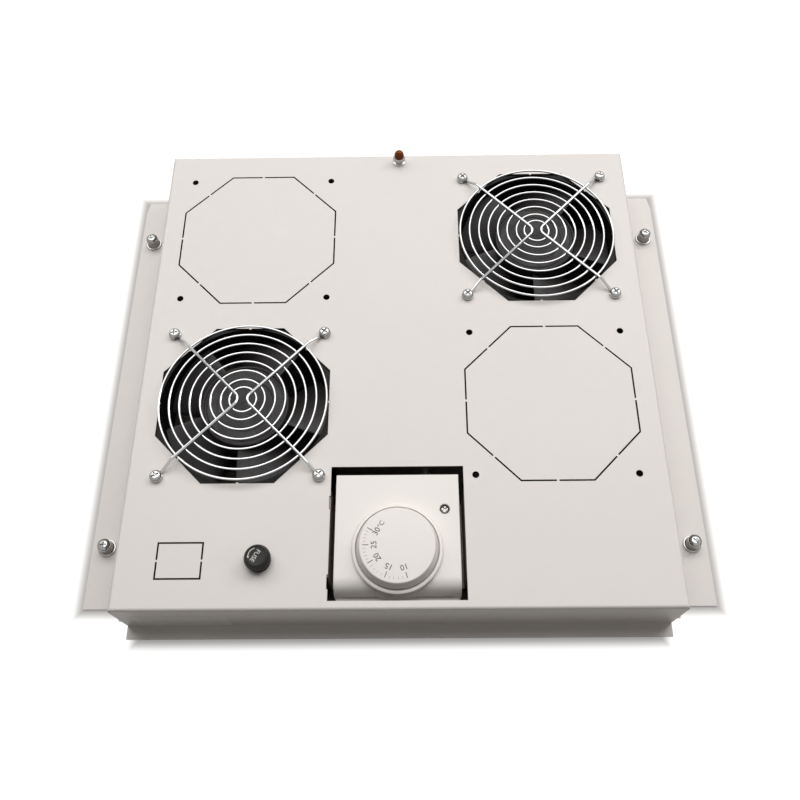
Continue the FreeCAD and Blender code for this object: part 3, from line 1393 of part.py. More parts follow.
def build_wiring_points():
    """Cable entry, terminal block, earth point and the leads."""
    save("cable_grommet", make_grommet())
    save("terminal_block", make_terminal_block())
    save("terminal_screws", make_terminal_screws())
    save("terminal_block_nuts", make_block_nuts())
    save("earth_washer", make_earth_washer())
    save("earth_nut", make_earth_nut())
    for name, route in lead_routes().items():
        save("lead_" + name, make_lead(route))
    save("lead_clips", make_lead_clips())


def main():
    """Write every node."""
    os.makedirs("parts", exist_ok=True)
    save("tray", make_tray())
    build_fans()
    build_thermostat()
    build_controls()
    build_captive_screws()
    build_wiring_points()


main()
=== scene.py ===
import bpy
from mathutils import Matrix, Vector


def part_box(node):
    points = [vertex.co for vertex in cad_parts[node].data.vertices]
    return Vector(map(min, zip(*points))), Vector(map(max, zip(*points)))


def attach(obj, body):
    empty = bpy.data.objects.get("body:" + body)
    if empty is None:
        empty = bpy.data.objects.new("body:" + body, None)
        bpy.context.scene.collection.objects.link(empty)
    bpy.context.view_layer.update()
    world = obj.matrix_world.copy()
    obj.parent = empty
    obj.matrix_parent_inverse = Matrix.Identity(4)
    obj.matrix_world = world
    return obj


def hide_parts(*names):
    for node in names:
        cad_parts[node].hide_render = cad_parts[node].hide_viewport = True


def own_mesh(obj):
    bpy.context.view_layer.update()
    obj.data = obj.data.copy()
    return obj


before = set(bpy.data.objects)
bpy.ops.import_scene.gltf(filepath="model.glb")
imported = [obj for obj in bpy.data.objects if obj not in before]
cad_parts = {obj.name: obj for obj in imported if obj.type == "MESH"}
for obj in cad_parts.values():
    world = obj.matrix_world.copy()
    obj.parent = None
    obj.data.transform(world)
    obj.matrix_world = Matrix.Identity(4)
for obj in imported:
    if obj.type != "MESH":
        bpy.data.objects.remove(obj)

"""Looks of a rack fan tray: folded steel tray, guarded fans, room thermostat, fuse, lamp, captive screws.

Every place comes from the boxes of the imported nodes. Sizes are given in millimetres in the dataclasses
and turned into metres where a mesh is made.
"""

import logging
import math
from dataclasses import dataclass, field
from enum import Enum, IntEnum
from typing import Any, Iterable, Optional, Sequence

import bmesh
import bpy
from mathutils import Matrix, Vector

MM = 0.001
ROOT = "tray_assembly"
CORNERS = ("rear_left", "rear_right", "front_left", "front_right")
FAN_FRAMES = ("fan_front_frame", "fan_rear_frame")
SQUARE = ((-1, -1), (1, -1), (1, 1), (-1, 1))
CREASE = 32.0
AXIS = 1e-6
WELD = 1e-7
LOG = logging.getLogger("fan_tray")

Point = tuple[float, float]
Spot = tuple[float, float, float]
Colour = tuple[float, float, float]
Output = bpy.types.NodeSocket
Mesh = bpy.types.Mesh


# ---------------------------------------------------------------- places


@dataclass(frozen=True)
class Place:
    """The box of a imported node, in metres."""

    low: Vector
    high: Vector

    @classmethod
    def of(cls, node: str) -> "Place":
        """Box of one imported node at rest."""
        return cls(*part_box(node))

    @property
    def middle(self) -> Vector:
        """Centre of the box."""
        return (self.low + self.high) / 2

    @property
    def size(self) -> Vector:
        """Extents of the box."""
        return self.high - self.low

    @property
    def plan(self) -> Point:
        """Centre of the box in plan, in millimetres."""
        return self.middle.x / MM, self.middle.y / MM

    @property
    def bottom(self) -> float:
        """Lowest height in millimetres."""
        return self.low.z / MM

    @property
    def top(self) -> float:
        """Greatest height in millimetres."""
        return self.high.z / MM

    def on_axis(self, height: float) -> Spot:
        """Point on the upright axis of the box at a height, all in metres."""
        return self.middle.x, self.middle.y, height


def polar(radius: float, turn: float) -> Vector:
    """Shift in plan by a radius at a heading in degrees."""
    return Vector((math.cos(math.radians(turn)), math.sin(math.radians(turn)), 0)) * radius


# ---------------------------------------------------------------- node trees


class TreeBook:
    """Writes nodes and links into one node tree."""

    def __init__(self, tree: bpy.types.NodeTree) -> None:
        """Start on an empty tree."""
        self.tree = tree

    @classmethod
    def fresh(cls, owner: bpy.types.ID) -> "TreeBook":
        """Give a material or a world an empty tree.

        Args:
            owner: material or world.

        Returns:
            The book of its tree.
        """
        owner.use_nodes = True
        owner.node_tree.nodes.clear()
        return cls(owner.node_tree)

    def add(self, kind: str, values: Optional[dict[Any, Any]] = None, **settings: Any) -> bpy.types.Node:
        """Add a node.

        Args:
            kind: node type.
            values: input name or index, and the number, colour or output that feeds it.
            **settings: properties of the node.

        Returns:
            The new node.
        """
        node = self.tree.nodes.new(kind)
        for key, value in settings.items():
            setattr(node, key, value)
        for key, value in (values or {}).items():
            if isinstance(value, Output):
                self.tree.links.new(value, node.inputs[key])
            else:
                node.inputs[key].default_value = value
        return node

    def math(self, operation: str, *values: Any) -> Output:
        """A sum, product or comparison of numbers."""
        return self.add("ShaderNodeMath", dict(enumerate(values)), operation=operation).outputs[0]

    def largest(self, first: Output, second: Output) -> Output:
        """The larger of two numbers."""
        return self.math("MAXIMUM", first, second)

    def along(self, **axes: Any) -> Output:
        """A vector from its X, Y and Z."""
        return self.add("ShaderNodeCombineXYZ", axes).outputs[0]

    def blend(self, share: Output, first: Any, second: Any) -> Output:
        """A colour between two."""
        return self.add("ShaderNodeMix", {0: share, 6: first, 7: second}, data_type="RGBA").outputs[2]

    def noise(self, position: Output, scale: float, detail: float, roughness: float = 0.5) -> Output:
        """Cloudy noise.

        Args:
            position: object coordinates.
            scale: clouds in a metre.
            detail: layers of finer clouds.
            roughness: weight of the finer clouds.

        Returns:
            Socket with the noise.
        """
        values = {"Vector": position, "Scale": scale, "Detail": detail, "Roughness": roughness}
        return self.add("ShaderNodeTexNoise", values).outputs[0]


# ---------------------------------------------------------------- finishes


def light_of(colour: Colour) -> tuple[float, ...]:
    """Turn a display colour of 0 to 255 into the renderer's linear colour.

    Args:
        colour: red, green and blue on a display.

    Returns:
        Linear red, green, blue and a full alpha.
    """

    def channel(value: float) -> float:
        """Linear value of one display channel."""
        share = value / 255
        return share / 12.92 if share <= 0.04045 else ((share + 0.055) / 1.055) ** 2.4

    return (*map(channel, colour), 1.0)


class Grain(Enum):
    """Small-scale relief of a surface."""

    ORANGE_PEEL = "orange peel"
    SPARK_ERODED = "spark eroded"
    DRAWN = "drawn"
    SMOOTH = "smooth"


@dataclass(frozen=True)
class CutEdgeOxideAndShade:
    """Dark cut edges of a sheet, partly bare oxidised metal and partly painted shade inside its slits and
    holes: a layer between two heights, inside a plan square.
    """

    low: float
    high: float
    half: float
    colour: Colour

    def share(self, book: TreeBook, position: Output) -> Output:
        """Mask of the cut edges that get the dark oxide and painted shade.

        Args:
            book: the material's tree.
            position: object coordinates.

        Returns:
            Socket that is 1 on a cut edge and 0 elsewhere.
        """
        place = book.add("ShaderNodeSeparateXYZ", {0: position}).outputs
        above = book.math("GREATER_THAN", place[2], self.low * MM)
        below = book.math("LESS_THAN", place[2], self.high * MM)
        reach = book.largest(book.math("ABSOLUTE", place[0]), book.math("ABSOLUTE", place[1]))
        inside = book.math("LESS_THAN", reach, self.half * MM)
        return book.math("MULTIPLY", book.math("MULTIPLY", above, below), inside)


@dataclass(frozen=True)
class Finish:
    """A surface finish: colour that drifts a little, gloss that varies, and a fine relief."""

    name: str
    colour: Colour
    roughness: float
    metallic: float = 0.0
    drift: float = 0.04
    drift_scale: float = 30.0
    gloss_swing: float = 0.05
    gloss_scale: float = 180.0
    gloss_band: Point = (0.3, 0.7)
    grain: Grain = Grain.SMOOTH
    grain_scale: float = 1500.0
    grain_depth: float = 0.00002
    grain_strength: float = 0.6
    drawn_out: Spot = (1.0, 1.0, 0.08)
    ior: float = 1.5
    speck: float = 0.0
    speck_scale: float = 22.0
    speck_size: float = 0.012
    speck_colour: Colour = (90, 84, 80)
    transmission: float = 0.0
    cut_edge_oxide_and_shade: Optional[CutEdgeOxideAndShade] = None

    def relief(self, book: TreeBook, position: Output) -> Output:
        """Height of the surface grain.

        Args:
            book: the material's tree.
            position: object coordinates.

        Returns:
            Socket with the height.
        """
        if self.grain is Grain.DRAWN:
            drawn = book.add("ShaderNodeMapping", {"Vector": position, "Scale": self.drawn_out})
            return book.noise(drawn.outputs[0], self.grain_scale, 2.0)
        if self.grain is Grain.ORANGE_PEEL:
            values = {"Vector": position, "Scale": self.grain_scale, "Smoothness": 1.0}
            return book.add("ShaderNodeTexVoronoi", values, feature="SMOOTH_F1").outputs["Distance"]
        return book.noise(position, self.grain_scale, 4.0, 0.6)

    def tint(self, book: TreeBook, position: Output) -> Output:
        """Base colour with its slow drift, its dark cut edges (oxide and painted shade) and its sparse specks.

        Args:
            book: the material's tree.
            position: object coordinates.

        Returns:
            Socket with the colour.
        """
        base = light_of(self.colour)[:3]
        darker = (*(c * (1 - self.drift) for c in base), 1.0)
        lighter = (*(min(1.0, c * (1 + self.drift)) for c in base), 1.0)
        mixed = book.blend(book.noise(position, self.drift_scale, 3.0), darker, lighter)
        # painted shade: the cut edges inside openings are darkened, partly as bare oxide and partly standing in
        # for the shade there
        if self.cut_edge_oxide_and_shade:
            mixed = book.blend(self.cut_edge_oxide_and_shade.share(book, position), mixed, light_of(self.cut_edge_oxide_and_shade.colour))
        if not self.speck:
            return mixed
        cells = book.add("ShaderNodeTexVoronoi", {"Vector": position, "Scale": self.speck_scale}).outputs
        chosen = book.add("ShaderNodeSeparateColor", {0: cells["Color"]}).outputs
        near = book.math("LESS_THAN", cells["Distance"], book.math("MULTIPLY", chosen[1], self.speck_size))
        mark = book.math("MULTIPLY", near, book.math("LESS_THAN", chosen[0], self.speck))
        return book.blend(mark, mixed, light_of(self.speck_colour))

    def material(self) -> bpy.types.Material:
        """Make the finish once and hand it out afterwards.

        Returns:
            The material.
        """
        label = self.name + "_finish"
        made = bpy.data.materials.get(label)
        if made:
            return made
        made = bpy.data.materials.new(label)
        book = TreeBook.fresh(made)
        position = book.add("ShaderNodeTexCoord").outputs["Object"]
        gloss = book.add(
            "ShaderNodeMapRange",
            {
                "Value": book.noise(position, self.gloss_scale, 3.0),
                "From Min": self.gloss_band[0],
                "From Max": self.gloss_band[1],
                "To Min": max(0.02, self.roughness - self.gloss_swing),
                "To Max": min(1.0, self.roughness + self.gloss_swing),
            },
        )
        height = {"Height": self.relief(book, position), "Distance": self.grain_depth}
        bump = book.add("ShaderNodeBump", {**height, "Strength": self.grain_strength})
        skin = book.add(
            "ShaderNodeBsdfPrincipled",
            {
                "Base Color": self.tint(book, position),
                "Roughness": gloss.outputs[0],
                "Metallic": self.metallic,
                "IOR": self.ior,
                "Transmission Weight": self.transmission,
                "Normal": bump.outputs[0],
            },
        )
        book.add("ShaderNodeOutputMaterial", {"Surface": skin.outputs[0]})
        return made


# The deck's cut edges in slits, holes and bores are painted dark: partly bare oxidised metal, partly painted
# shade inside the openings.
PAINT = Finish(
    "tray_powder_coat", (219, 213, 208), 0.48, drift=0.022, drift_scale=14.0, gloss_swing=0.04,
    grain=Grain.ORANGE_PEEL, grain_scale=950.0, grain_depth=0.00003, speck=0.16,
    cut_edge_oxide_and_shade=CutEdgeOxideAndShade(44.52, 45.98, 173.0, (40, 36, 32)),
)
LABEL = Finish("blank_label", (240, 236, 231), 0.4, drift=0.02, grain_scale=700.0)
FAN_BLACK = Finish(
    "fan_black_moulding", (12, 11, 11), 0.45, drift=0.12, gloss_swing=0.08, ior=1.22,
    grain=Grain.SPARK_ERODED, grain_scale=2200.0, grain_depth=0.00002,
)
ROTOR_BLACK = Finish(
    "fan_rotor_moulding", (34, 31, 30), 0.45, drift=0.14, gloss_swing=0.08, ior=1.35,
    grain=Grain.SPARK_ERODED, grain_scale=2200.0, grain_depth=0.00002,
)
LAMINATION = Finish("motor_laminations", (96, 92, 88), 0.5, metallic=0.7, grain=Grain.DRAWN, grain_scale=2500.0)
BRONZE = Finish("sintered_bronze", (176, 132, 84), 0.45, metallic=0.9, drift=0.1, grain_scale=3000.0)
WIRE_PLATE = Finish(
    "guard_plating", (174, 174, 175), 0.12, metallic=1.0, drift=0.05, gloss_swing=0.05,
    grain=Grain.SPARK_ERODED, grain_scale=900.0, grain_depth=0.00001,
)
SCREW_PLATE = Finish(
    "bright_screw_plating", (146, 146, 145), 0.11, metallic=1.0, drift=0.05, gloss_swing=0.04,
    grain=Grain.SPARK_ERODED, grain_scale=1200.0, grain_depth=0.00001,
)
NICKEL = Finish(
    "nickel_plating", (140, 138, 135), 0.15, metallic=1.0, drift=0.06, gloss_swing=0.05,
    grain=Grain.DRAWN, grain_scale=1600.0, grain_depth=0.00001,
)
SPRING_STEEL = Finish("spring_steel", (150, 150, 152), 0.3, metallic=1.0, grain=Grain.DRAWN)
ZINC_SHEET = Finish("zinc_sheet", (142, 130, 114), 0.45, metallic=0.25, drift=0.1, drift_scale=60.0)
COVER_PLASTIC = Finish(
    "thermostat_moulding", (232, 227, 221), 0.5, drift=0.015, grain=Grain.SPARK_ERODED,
    grain_scale=2600.0, grain_depth=0.00003,
)
DIAL_PLASTIC = Finish(
    "dial_moulding", (230, 224, 219), 0.4, drift=0.012, grain=Grain.SPARK_ERODED,
    grain_scale=2400.0, grain_depth=0.00002,
)
DIAL_INK = Finish("dial_print", (68, 63, 58), 0.6, drift=0.15, drift_scale=700.0)
DIAL_FAINT_INK = Finish("dial_fine_print", (150, 144, 138), 0.6, drift=0.15, drift_scale=700.0)
NYLON = Finish("spindle_nylon", (222, 220, 210), 0.45, drift=0.03)
CAPSULE_BRASS = Finish("capsule_brass", (196, 160, 96), 0.3, metallic=1.0, drift=0.08)
SWITCH_BLACK = Finish("switch_moulding", (34, 34, 36), 0.45, drift=0.1)
FUSE_BLACK = Finish(
    "fuse_moulding", (10, 9, 8), 0.4, drift=0.1, grain=Grain.SPARK_ERODED, grain_scale=1800.0, ior=1.3,
)
FUSE_INK = Finish("fuse_print", (214, 209, 202), 0.55, drift=0.06, drift_scale=900.0)
FUSE_GLASS = Finish("fuse_glass_tube", (238, 242, 242), 0.05, drift=0.01, transmission=0.9, ior=1.47)
LAMP_CHROME = Finish("lamp_chrome", (172, 171, 170), 0.1, metallic=1.0, drift=0.03, gloss_swing=0.03)
AMBER = Finish(
    "lamp_amber", (92, 44, 14), 0.1, metallic=0.7, drift=0.1, drift_scale=300.0, gloss_swing=0.02, ior=1.3,
)
LAMP_BODY = Finish("lamp_moulding", (48, 46, 44), 0.5, drift=0.1)
RUBBER = Finish("grommet_rubber", (30, 30, 30), 0.75, drift=0.15, grain_scale=900.0)
TERMINAL_WHITE = Finish("terminal_polyamide", (228, 227, 220), 0.5, drift=0.03)
LEAD_SHEATH = Finish("lead_sheath", (62, 62, 64), 0.55, drift=0.06, grain_scale=800.0)
TERMINAL_METAL = Finish("terminal_screws", (190, 176, 140), 0.3, metallic=1.0, drift=0.08)


# ---------------------------------------------------------------- mesh making


class Facets(IntEnum):
    """Flats round a turned shape."""

    CONE = 16
    PLUG = 32
    SCREW = 40
    FERRULE = 48
    LENS = 64
    CAP = 96
    BOSS = 128
    DIAL = 144


def rounded(corners: Sequence[Spot], steps: int = 5) -> list[Point]:
    """Round the corners of an open profile.

    Args:
        corners: two coordinates of each profile point and the rounding there, 0 for a sharp one.
        steps: flats in each rounding.

    Returns:
        The profile with arcs in place of its rounded corners.
    """
    spare = 0.49
    result: list[Point] = []
    for k, (*corner, radius) in enumerate(corners):
        if radius <= 0 or k in (0, len(corners) - 1):
            result.append(tuple(corner))
            continue
        here = Vector(corner)
        back, ahead = Vector(corners[k - 1][:2]) - here, Vector(corners[k + 1][:2]) - here
        half = back.angle(ahead) / 2
        reach = min(radius / math.tan(half), back.length * spare, ahead.length * spare)
        size = reach * math.tan(half)
        inward = (back.normalized() + ahead.normalized()).normalized()
        centre = here + inward * (size / math.sin(half))
        start, end = here + back.normalized() * reach - centre, here + ahead.normalized() * reach - centre
        result += [tuple(centre + start.slerp(end, step / steps, start) * size) for step in range(steps + 1)]
    return result


def smooth(mesh: Mesh, crease: float) -> None:
    """Shade a mesh smooth except at edges that turn by more than the crease, in degrees."""
    mesh.shade_smooth()
    mesh.set_sharp_from_angle(angle=math.radians(crease))


def closed_mesh(work: bmesh.types.BMesh, name: str, crease: float = CREASE) -> Mesh:
    """Turn a filled work mesh into a plain one, with its faces outwards.

    Args:
        work: closed work mesh, which is freed.
        name: name of the mesh.
        crease: angle in degrees above which an edge stays sharp.

    Returns:
        The plain mesh.
    """
    bmesh.ops.remove_doubles(work, verts=work.verts, dist=WELD)
    bmesh.ops.recalc_face_normals(work, faces=work.faces)
    mesh = bpy.data.meshes.new(name)
    work.to_mesh(mesh)
    work.free()
    smooth(mesh, crease)
    return mesh


def skinned(name: str, rings: Sequence[Sequence[Spot]], looped: bool = False, crease: float = CREASE) -> Mesh:
    """Skin rings of points one after another into a closed mesh.

    Args:
        name: name of the mesh.
        rings: rings of points in millimetres, all of one length; a ring of one point is a pole.
        looped: whether the last ring meets the first; else the end rings are filled.
        crease: angle in degrees above which an edge stays sharp.

    Returns:
        The closed mesh.
    """
    work = bmesh.new()
    rows = [[work.verts.new([c * MM for c in point]) for point in ring] for ring in rings]
    for lower, upper in zip(rows, rows[1:] + rows[: int(looped)]):
        count = max(len(lower), len(upper))
        for k in range(count):
            after = (k + 1) % count
            ends = [(lower, k), (lower, after), (upper, after), (upper, k)]
            work.faces.new(list(dict.fromkeys(row[i % len(row)] for row, i in ends)))
    for row in () if looped else (rows[0], rows[-1]):
        if len(row) > 2:
            work.faces.new(row)
    return closed_mesh(work, name, crease)


def turned(
    name: str, profile: Sequence[Point], facets: Facets, at: Point = (0, 0), crease: float = CREASE
) -> Mesh:
    """Turn a profile about an upright axis.

    Args:
        name: name of the mesh.
        profile: radius and height in millimetres, from axis to axis or closed on itself.
        facets: flats round the turn.
        at: axis in plan, in millimetres.
        crease: angle in degrees above which an edge stays sharp.

    Returns:
        The closed mesh.
    """

    def ring(radius: float, height: float) -> list[Spot]:
        """Points round the axis, or the one point on it.

        Args:
            radius: distance from the axis.
            height: height of the ring.

        Returns:
            The points in order.
        """
        count = facets if radius > AXIS else 1
        turns = [2 * math.pi * k / facets for k in range(count)]
        return [(at[0] + radius * math.cos(a), at[1] + radius * math.sin(a), height) for a in turns]

    looped = profile[0][0] > AXIS and profile[-1][0] > AXIS
    return skinned(name, [ring(*point) for point in profile], looped, crease)


def raised(name: str, outline: Sequence[Point], low: float, high: float) -> Mesh:
    """Raise a plan outline between two heights, all in millimetres."""
    return skinned(name, [[(x, y, z) for x, y in outline] for z in (low, high)])


def as_object(data: bpy.types.ID, name: str) -> bpy.types.Object:
    """Put a mesh or other data into the scene at the origin.

    Args:
        data: what the object holds.
        name: name of the object.

    Returns:
        The object.
    """
    made = bpy.data.objects.new(name, data)
    bpy.context.scene.collection.objects.link(made)
    return made


def settled(worked: bpy.types.Object, name: str, crease: float = CREASE) -> Mesh:
    """Turn an object with modifiers into a plain mesh and drop the object.

    Args:
        worked: object to evaluate.
        name: name of the plain mesh.
        crease: angle in degrees above which an edge stays sharp.

    Returns:
        The evaluated mesh.
    """
    bpy.context.view_layer.update()
    graph = bpy.context.evaluated_depsgraph_get()
    mesh = bpy.data.meshes.new_from_object(worked.evaluated_get(graph), depsgraph=graph)
    mesh.name = name
    bpy.data.objects.remove(worked)
    smooth(mesh, crease)
    return mesh


def combined(body: Mesh, tools: Iterable[Mesh], operation: str, name: str, crease: float = CREASE) -> Mesh:
    """Cut tools out of a mesh, or join them to it.

    Args:
        body: mesh to work on.
        tools: closed meshes.
        operation: DIFFERENCE or UNION.
        name: name of the result.
        crease: angle in degrees above which an edge stays sharp.

    Returns:
        The worked mesh.
    """
    worked = as_object(body, name + "_blank")
    helpers = [as_object(tool, name + "_tool") for tool in tools]
    for helper in helpers:
        step = worked.modifiers.new("step", "BOOLEAN")
        step.operation = operation
        step.solver = "EXACT"
        step.object = helper
    mesh = settled(worked, name, crease)
    for helper in helpers:
        bpy.data.objects.remove(helper)
    return mesh


def fit_out(
    mesh: Mesh, name: str, body: str, slot: str, finish: Finish, *replaces: str
) -> bpy.types.Object:
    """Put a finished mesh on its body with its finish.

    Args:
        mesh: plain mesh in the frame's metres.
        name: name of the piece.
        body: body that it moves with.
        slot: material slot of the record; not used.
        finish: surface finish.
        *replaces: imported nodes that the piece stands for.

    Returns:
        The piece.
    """
    mesh.name = name
    piece = as_object(mesh, name)
    mesh.materials.clear()
    mesh.materials.append(finish.material())
    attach(piece, body)
    if replaces:
        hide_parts(*replaces)
    LOG.info("%s: %d faces on %s, finish %s", name, len(mesh.polygons), body, finish.name)
    return piece


def dress(finish: Finish, *nodes: str) -> None:
    """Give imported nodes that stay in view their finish.

    Args:
        finish: surface finish.
        *nodes: names of the nodes.
    """
    for node in nodes:
        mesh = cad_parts[node].data
        mesh.materials.clear()
        mesh.materials.append(finish.material())
        LOG.info("%s: packed node, finish %s", node, finish.name)


def lettering(text: str, height: float, weight: float, depth: float) -> Mesh:
    """Flat raised lettering about its own middle.

    Args:
        text: characters.
        height: height of the capitals in millimetres.
        weight: how much the strokes grow, in millimetres.
        depth: thickness in millimetres.

    Returns:
        Mesh in metres, lying in plan with its reading direction along X.
    """
    capital_share = 0.72
    curve = bpy.data.curves.new("lettering", "FONT")
    curve.body = text
    curve.size = height / capital_share * MM
    curve.align_x = curve.align_y = "CENTER"
    curve.offset = weight * MM
    curve.extrude = depth / 2 * MM
    curve.resolution_u = 4
    mesh = settled(as_object(curve, "lettering"), "lettering")
    bpy.data.curves.remove(curve)
    return mesh


def moved(mesh: Mesh, turn: float, at: Spot = (0, 0, 0)) -> Mesh:
    """Turn a mesh about the upright axis and shift it.

    Args:
        mesh: mesh about the origin.
        turn: angle in degrees.
        at: shift in metres.

    Returns:
        The same mesh.
    """
    mesh.transform(Matrix.Translation(at) @ Matrix.Rotation(math.radians(turn), 4, "Z"))
    return mesh


def joined(meshes: Iterable[Mesh]) -> Mesh:
    """Join plain meshes into one.

    Args:
        meshes: meshes to join.

    Returns:
        The joined mesh.
    """
    work = bmesh.new()
    for mesh in meshes:
        work.from_mesh(mesh)
    result = bpy.data.meshes.new("joined")
    work.to_mesh(result)
    work.free()
    return result


def wire_mesh(paths: Iterable[Sequence[Vector]] = ()) -> Mesh:
    """Open lines and loose points for a recipe to work on.

    Args:
        paths: lines of points in metres; a line of one point is a loose point.

    Returns:
        Mesh without faces.
    """
    points: list[Spot] = []
    edges: list[tuple[int, int]] = []
    for path in paths:
        start = len(points)
        points += [tuple(p) for p in path]
        edges += [(start + k, start + k + 1) for k in range(len(path) - 1)]
    mesh = bpy.data.meshes.new("lines")
    mesh.from_pydata(points, edges, [])
    return mesh


# ---------------------------------------------------------------- geometry node recipes


class Socket(Enum):
    """Kinds of input that a recipe may have."""

    NUMBER = "NodeSocketFloat"
    COUNT = "NodeSocketInt"
    PLACE = "NodeSocketVector"
    OBJECT = "NodeSocketObject"
    FINISH = "NodeSocketMaterial"


class Recipe:
    """A Geometry Nodes tree with named inputs, ended by Realize Instances and Set Material."""

    WIRE_SIDES = 10
    RING_SIDES = 128
    COIL_SIDES = 28

    def __init__(self, name: str, inputs: dict[str, Socket]) -> None:
        """Open the tree.

        Args:
            name: name of the tree.
            inputs: name and kind of each input.
        """
        self.group = bpy.data.node_groups.new(name, "GeometryNodeTree")
        self.book = TreeBook(self.group)
        self.keys: dict[str, str] = {}
        face = self.group.interface
        face.new_socket("Geometry", in_out="INPUT", socket_type="NodeSocketGeometry")
        for label, kind in {**inputs, "Finish": Socket.FINISH}.items():
            made = face.new_socket(label, in_out="INPUT", socket_type=kind.value)
            self.keys[label] = made.identifier
        face.new_socket("Geometry", in_out="OUTPUT", socket_type="NodeSocketGeometry")
        self.given = self.group.nodes.new("NodeGroupInput").outputs

    def make(self, kind: str, values: Optional[dict[Any, Any]] = None, **settings: Any) -> Output:
        """Add a node and hand out its first output."""
        return self.book.add(kind, values, **settings).outputs[0]

    def circle(self, sides: int, radius: Any) -> Output:
        """A circle in plan about the origin."""
        values = {"Resolution": sides, "Radius": radius}
        return self.make("GeometryNodeCurvePrimitiveCircle", values, mode="RADIUS")

    def shape_of(self, label: str) -> Output:
        """Geometry of the object given under a label."""
        return self.book.add("GeometryNodeObjectInfo", {"Object": self.given[label]}).outputs["Geometry"]

    def row(self, count: Output, at: Any = (0, 0, 0)) -> Output:
        """A number of points at one place, told apart by their index."""
        return self.make("GeometryNodePoints", {"Count": count, "Position": at})

    def copies(self, points: Output, instance: Output, **values: Output) -> Output:
        """One copy of a geometry at each point, turned or scaled by the values."""
        return self.make("GeometryNodeInstanceOnPoints", {"Points": points, "Instance": instance, **values})

    def shifted(self, geometry: Output, by: Output) -> Output:
        """A geometry shifted by a vector."""
        return self.make("GeometryNodeTransform", {"Geometry": geometry, "Translation": by})

    def swept(self, line: Output, wire: Output) -> Output:
        """Sweep a round wire of a given thickness along curves.

        Args:
            line: curves to follow.
            wire: thickness of the wire.

        Returns:
            Mesh of the wires, with closed ends.
        """
        section = self.circle(self.WIRE_SIDES, self.book.math("MULTIPLY", wire, 0.5))
        values = {"Curve": line, "Profile Curve": section, "Fill Caps": True}
        return self.make("GeometryNodeCurveToMesh", values)

    def together(self, *parts: Output) -> Output:
        """Several geometries as one.

        Args:
            *parts: geometries in order.

        Returns:
            The joined geometry.
        """
        node = self.book.add("GeometryNodeJoinGeometry")
        for part in parts:
            self.group.links.new(part, node.inputs[0])
        return node.outputs[0]

    def close(self, geometry: Output) -> "Recipe":
        """End the tree.

        Args:
            geometry: what the recipe has made.

        Returns:
            The recipe itself.
        """
        real = self.make("GeometryNodeRealizeInstances", {0: geometry})
        finished = self.make("GeometryNodeSetMaterial", {"Geometry": real, "Material": self.given["Finish"]})
        self.book.add("NodeGroupOutput", {0: finished})
        return self

    def cook(
        self, base: Mesh, values: dict[str, Any], finish: Finish, name: str, crease: float = CREASE
    ) -> Mesh:
        """Run the recipe and keep the plain mesh.

        Args:
            base: mesh that the tree starts from.
            values: value of each named input.
            finish: finish of the result.
            name: name of the mesh.
            crease: angle in degrees above which an edge stays sharp.

        Returns:
            The plain mesh.
        """
        carrier = as_object(base, name + "_carrier")
        step = carrier.modifiers.new(name, "NODES")
        step.node_group = self.group
        for label, value in {**values, "Finish": finish.material()}.items():
            step[self.keys[label]] = value
        return settled(carrier, name, crease)


def scatter_recipe() -> Recipe:
    """Recipe that sets one copy of a master piece at each point, each turned at random.

    Returns:
        The recipe.
    """
    recipe = Recipe(
        "scatter_fasteners",
        {"Master": Socket.OBJECT, "Heading": Socket.NUMBER, "Swing": Socket.NUMBER, "Seed": Socket.COUNT},
    )
    book, given = recipe.book, recipe.given
    least = book.math("MULTIPLY", given["Swing"], -1.0)
    swing = book.add(
        "FunctionNodeRandomValue", {2: least, 3: given["Swing"], "Seed": given["Seed"]}, data_type="FLOAT"
    )
    turn = book.along(Z=book.math("ADD", given["Heading"], swing.outputs[1]))
    points = recipe.make("GeometryNodeMeshToPoints", {0: given["Geometry"]})
    return recipe.close(recipe.copies(points, recipe.shape_of("Master"), Rotation=turn))


def guard_recipe() -> Recipe:
    """Recipe for a finger guard: concentric rings, and wires swept along the given lines.

    Returns:
        The recipe.
    """
    sizes = ("First radius", "Second radius", "Pitch", "Ring wire", "Spoke wire")
    recipe = Recipe(
        "finger_guard",
        {"Middle": Socket.PLACE, "Ring count": Socket.COUNT, **dict.fromkeys(sizes, Socket.NUMBER)},
    )
    book, given = recipe.book, recipe.given
    index = recipe.make("GeometryNodeInputIndex")
    step = book.math("MULTIPLY", book.math("SUBTRACT", index, 1.0), given["Pitch"])
    outer = book.math("ADD", given["Second radius"], step)
    first = book.math("LESS_THAN", index, 0.5)
    gap = book.math("SUBTRACT", given["First radius"], outer)
    radius = book.math("ADD", outer, book.math("MULTIPLY", first, gap))
    row = recipe.row(given["Ring count"], given["Middle"])
    rings = recipe.copies(row, recipe.circle(recipe.RING_SIDES, 1.0), Scale=radius)
    real = recipe.make("GeometryNodeRealizeInstances", {0: rings})
    spokes = recipe.make("GeometryNodeMeshToCurve", {0: given["Geometry"]})
    wires = recipe.together(recipe.swept(real, given["Ring wire"]), recipe.swept(spokes, given["Spoke wire"]))
    return recipe.close(wires)


def rotor_recipe() -> Recipe:
    """Recipe for a fan rotor: the blade given, repeated round a hub.

    Returns:
        The recipe.
    """
    recipe = Recipe(
        "fan_rotor",
        {
            "Hub": Socket.OBJECT,
            "Blade count": Socket.COUNT,
            "Rest turn": Socket.NUMBER,
            "Middle": Socket.PLACE,
        },
    )
    book, given = recipe.book, recipe.given
    pitch = book.math("DIVIDE", 2 * math.pi, given["Blade count"])
    step = book.math("MULTIPLY", recipe.make("GeometryNodeInputIndex"), pitch)
    turn = book.along(Z=book.math("ADD", given["Rest turn"], step))
    blades = recipe.copies(recipe.row(given["Blade count"]), given["Geometry"], Rotation=turn)
    whole = recipe.together(recipe.shape_of("Hub"), blades)
    return recipe.close(recipe.shifted(whole, given["Middle"]))


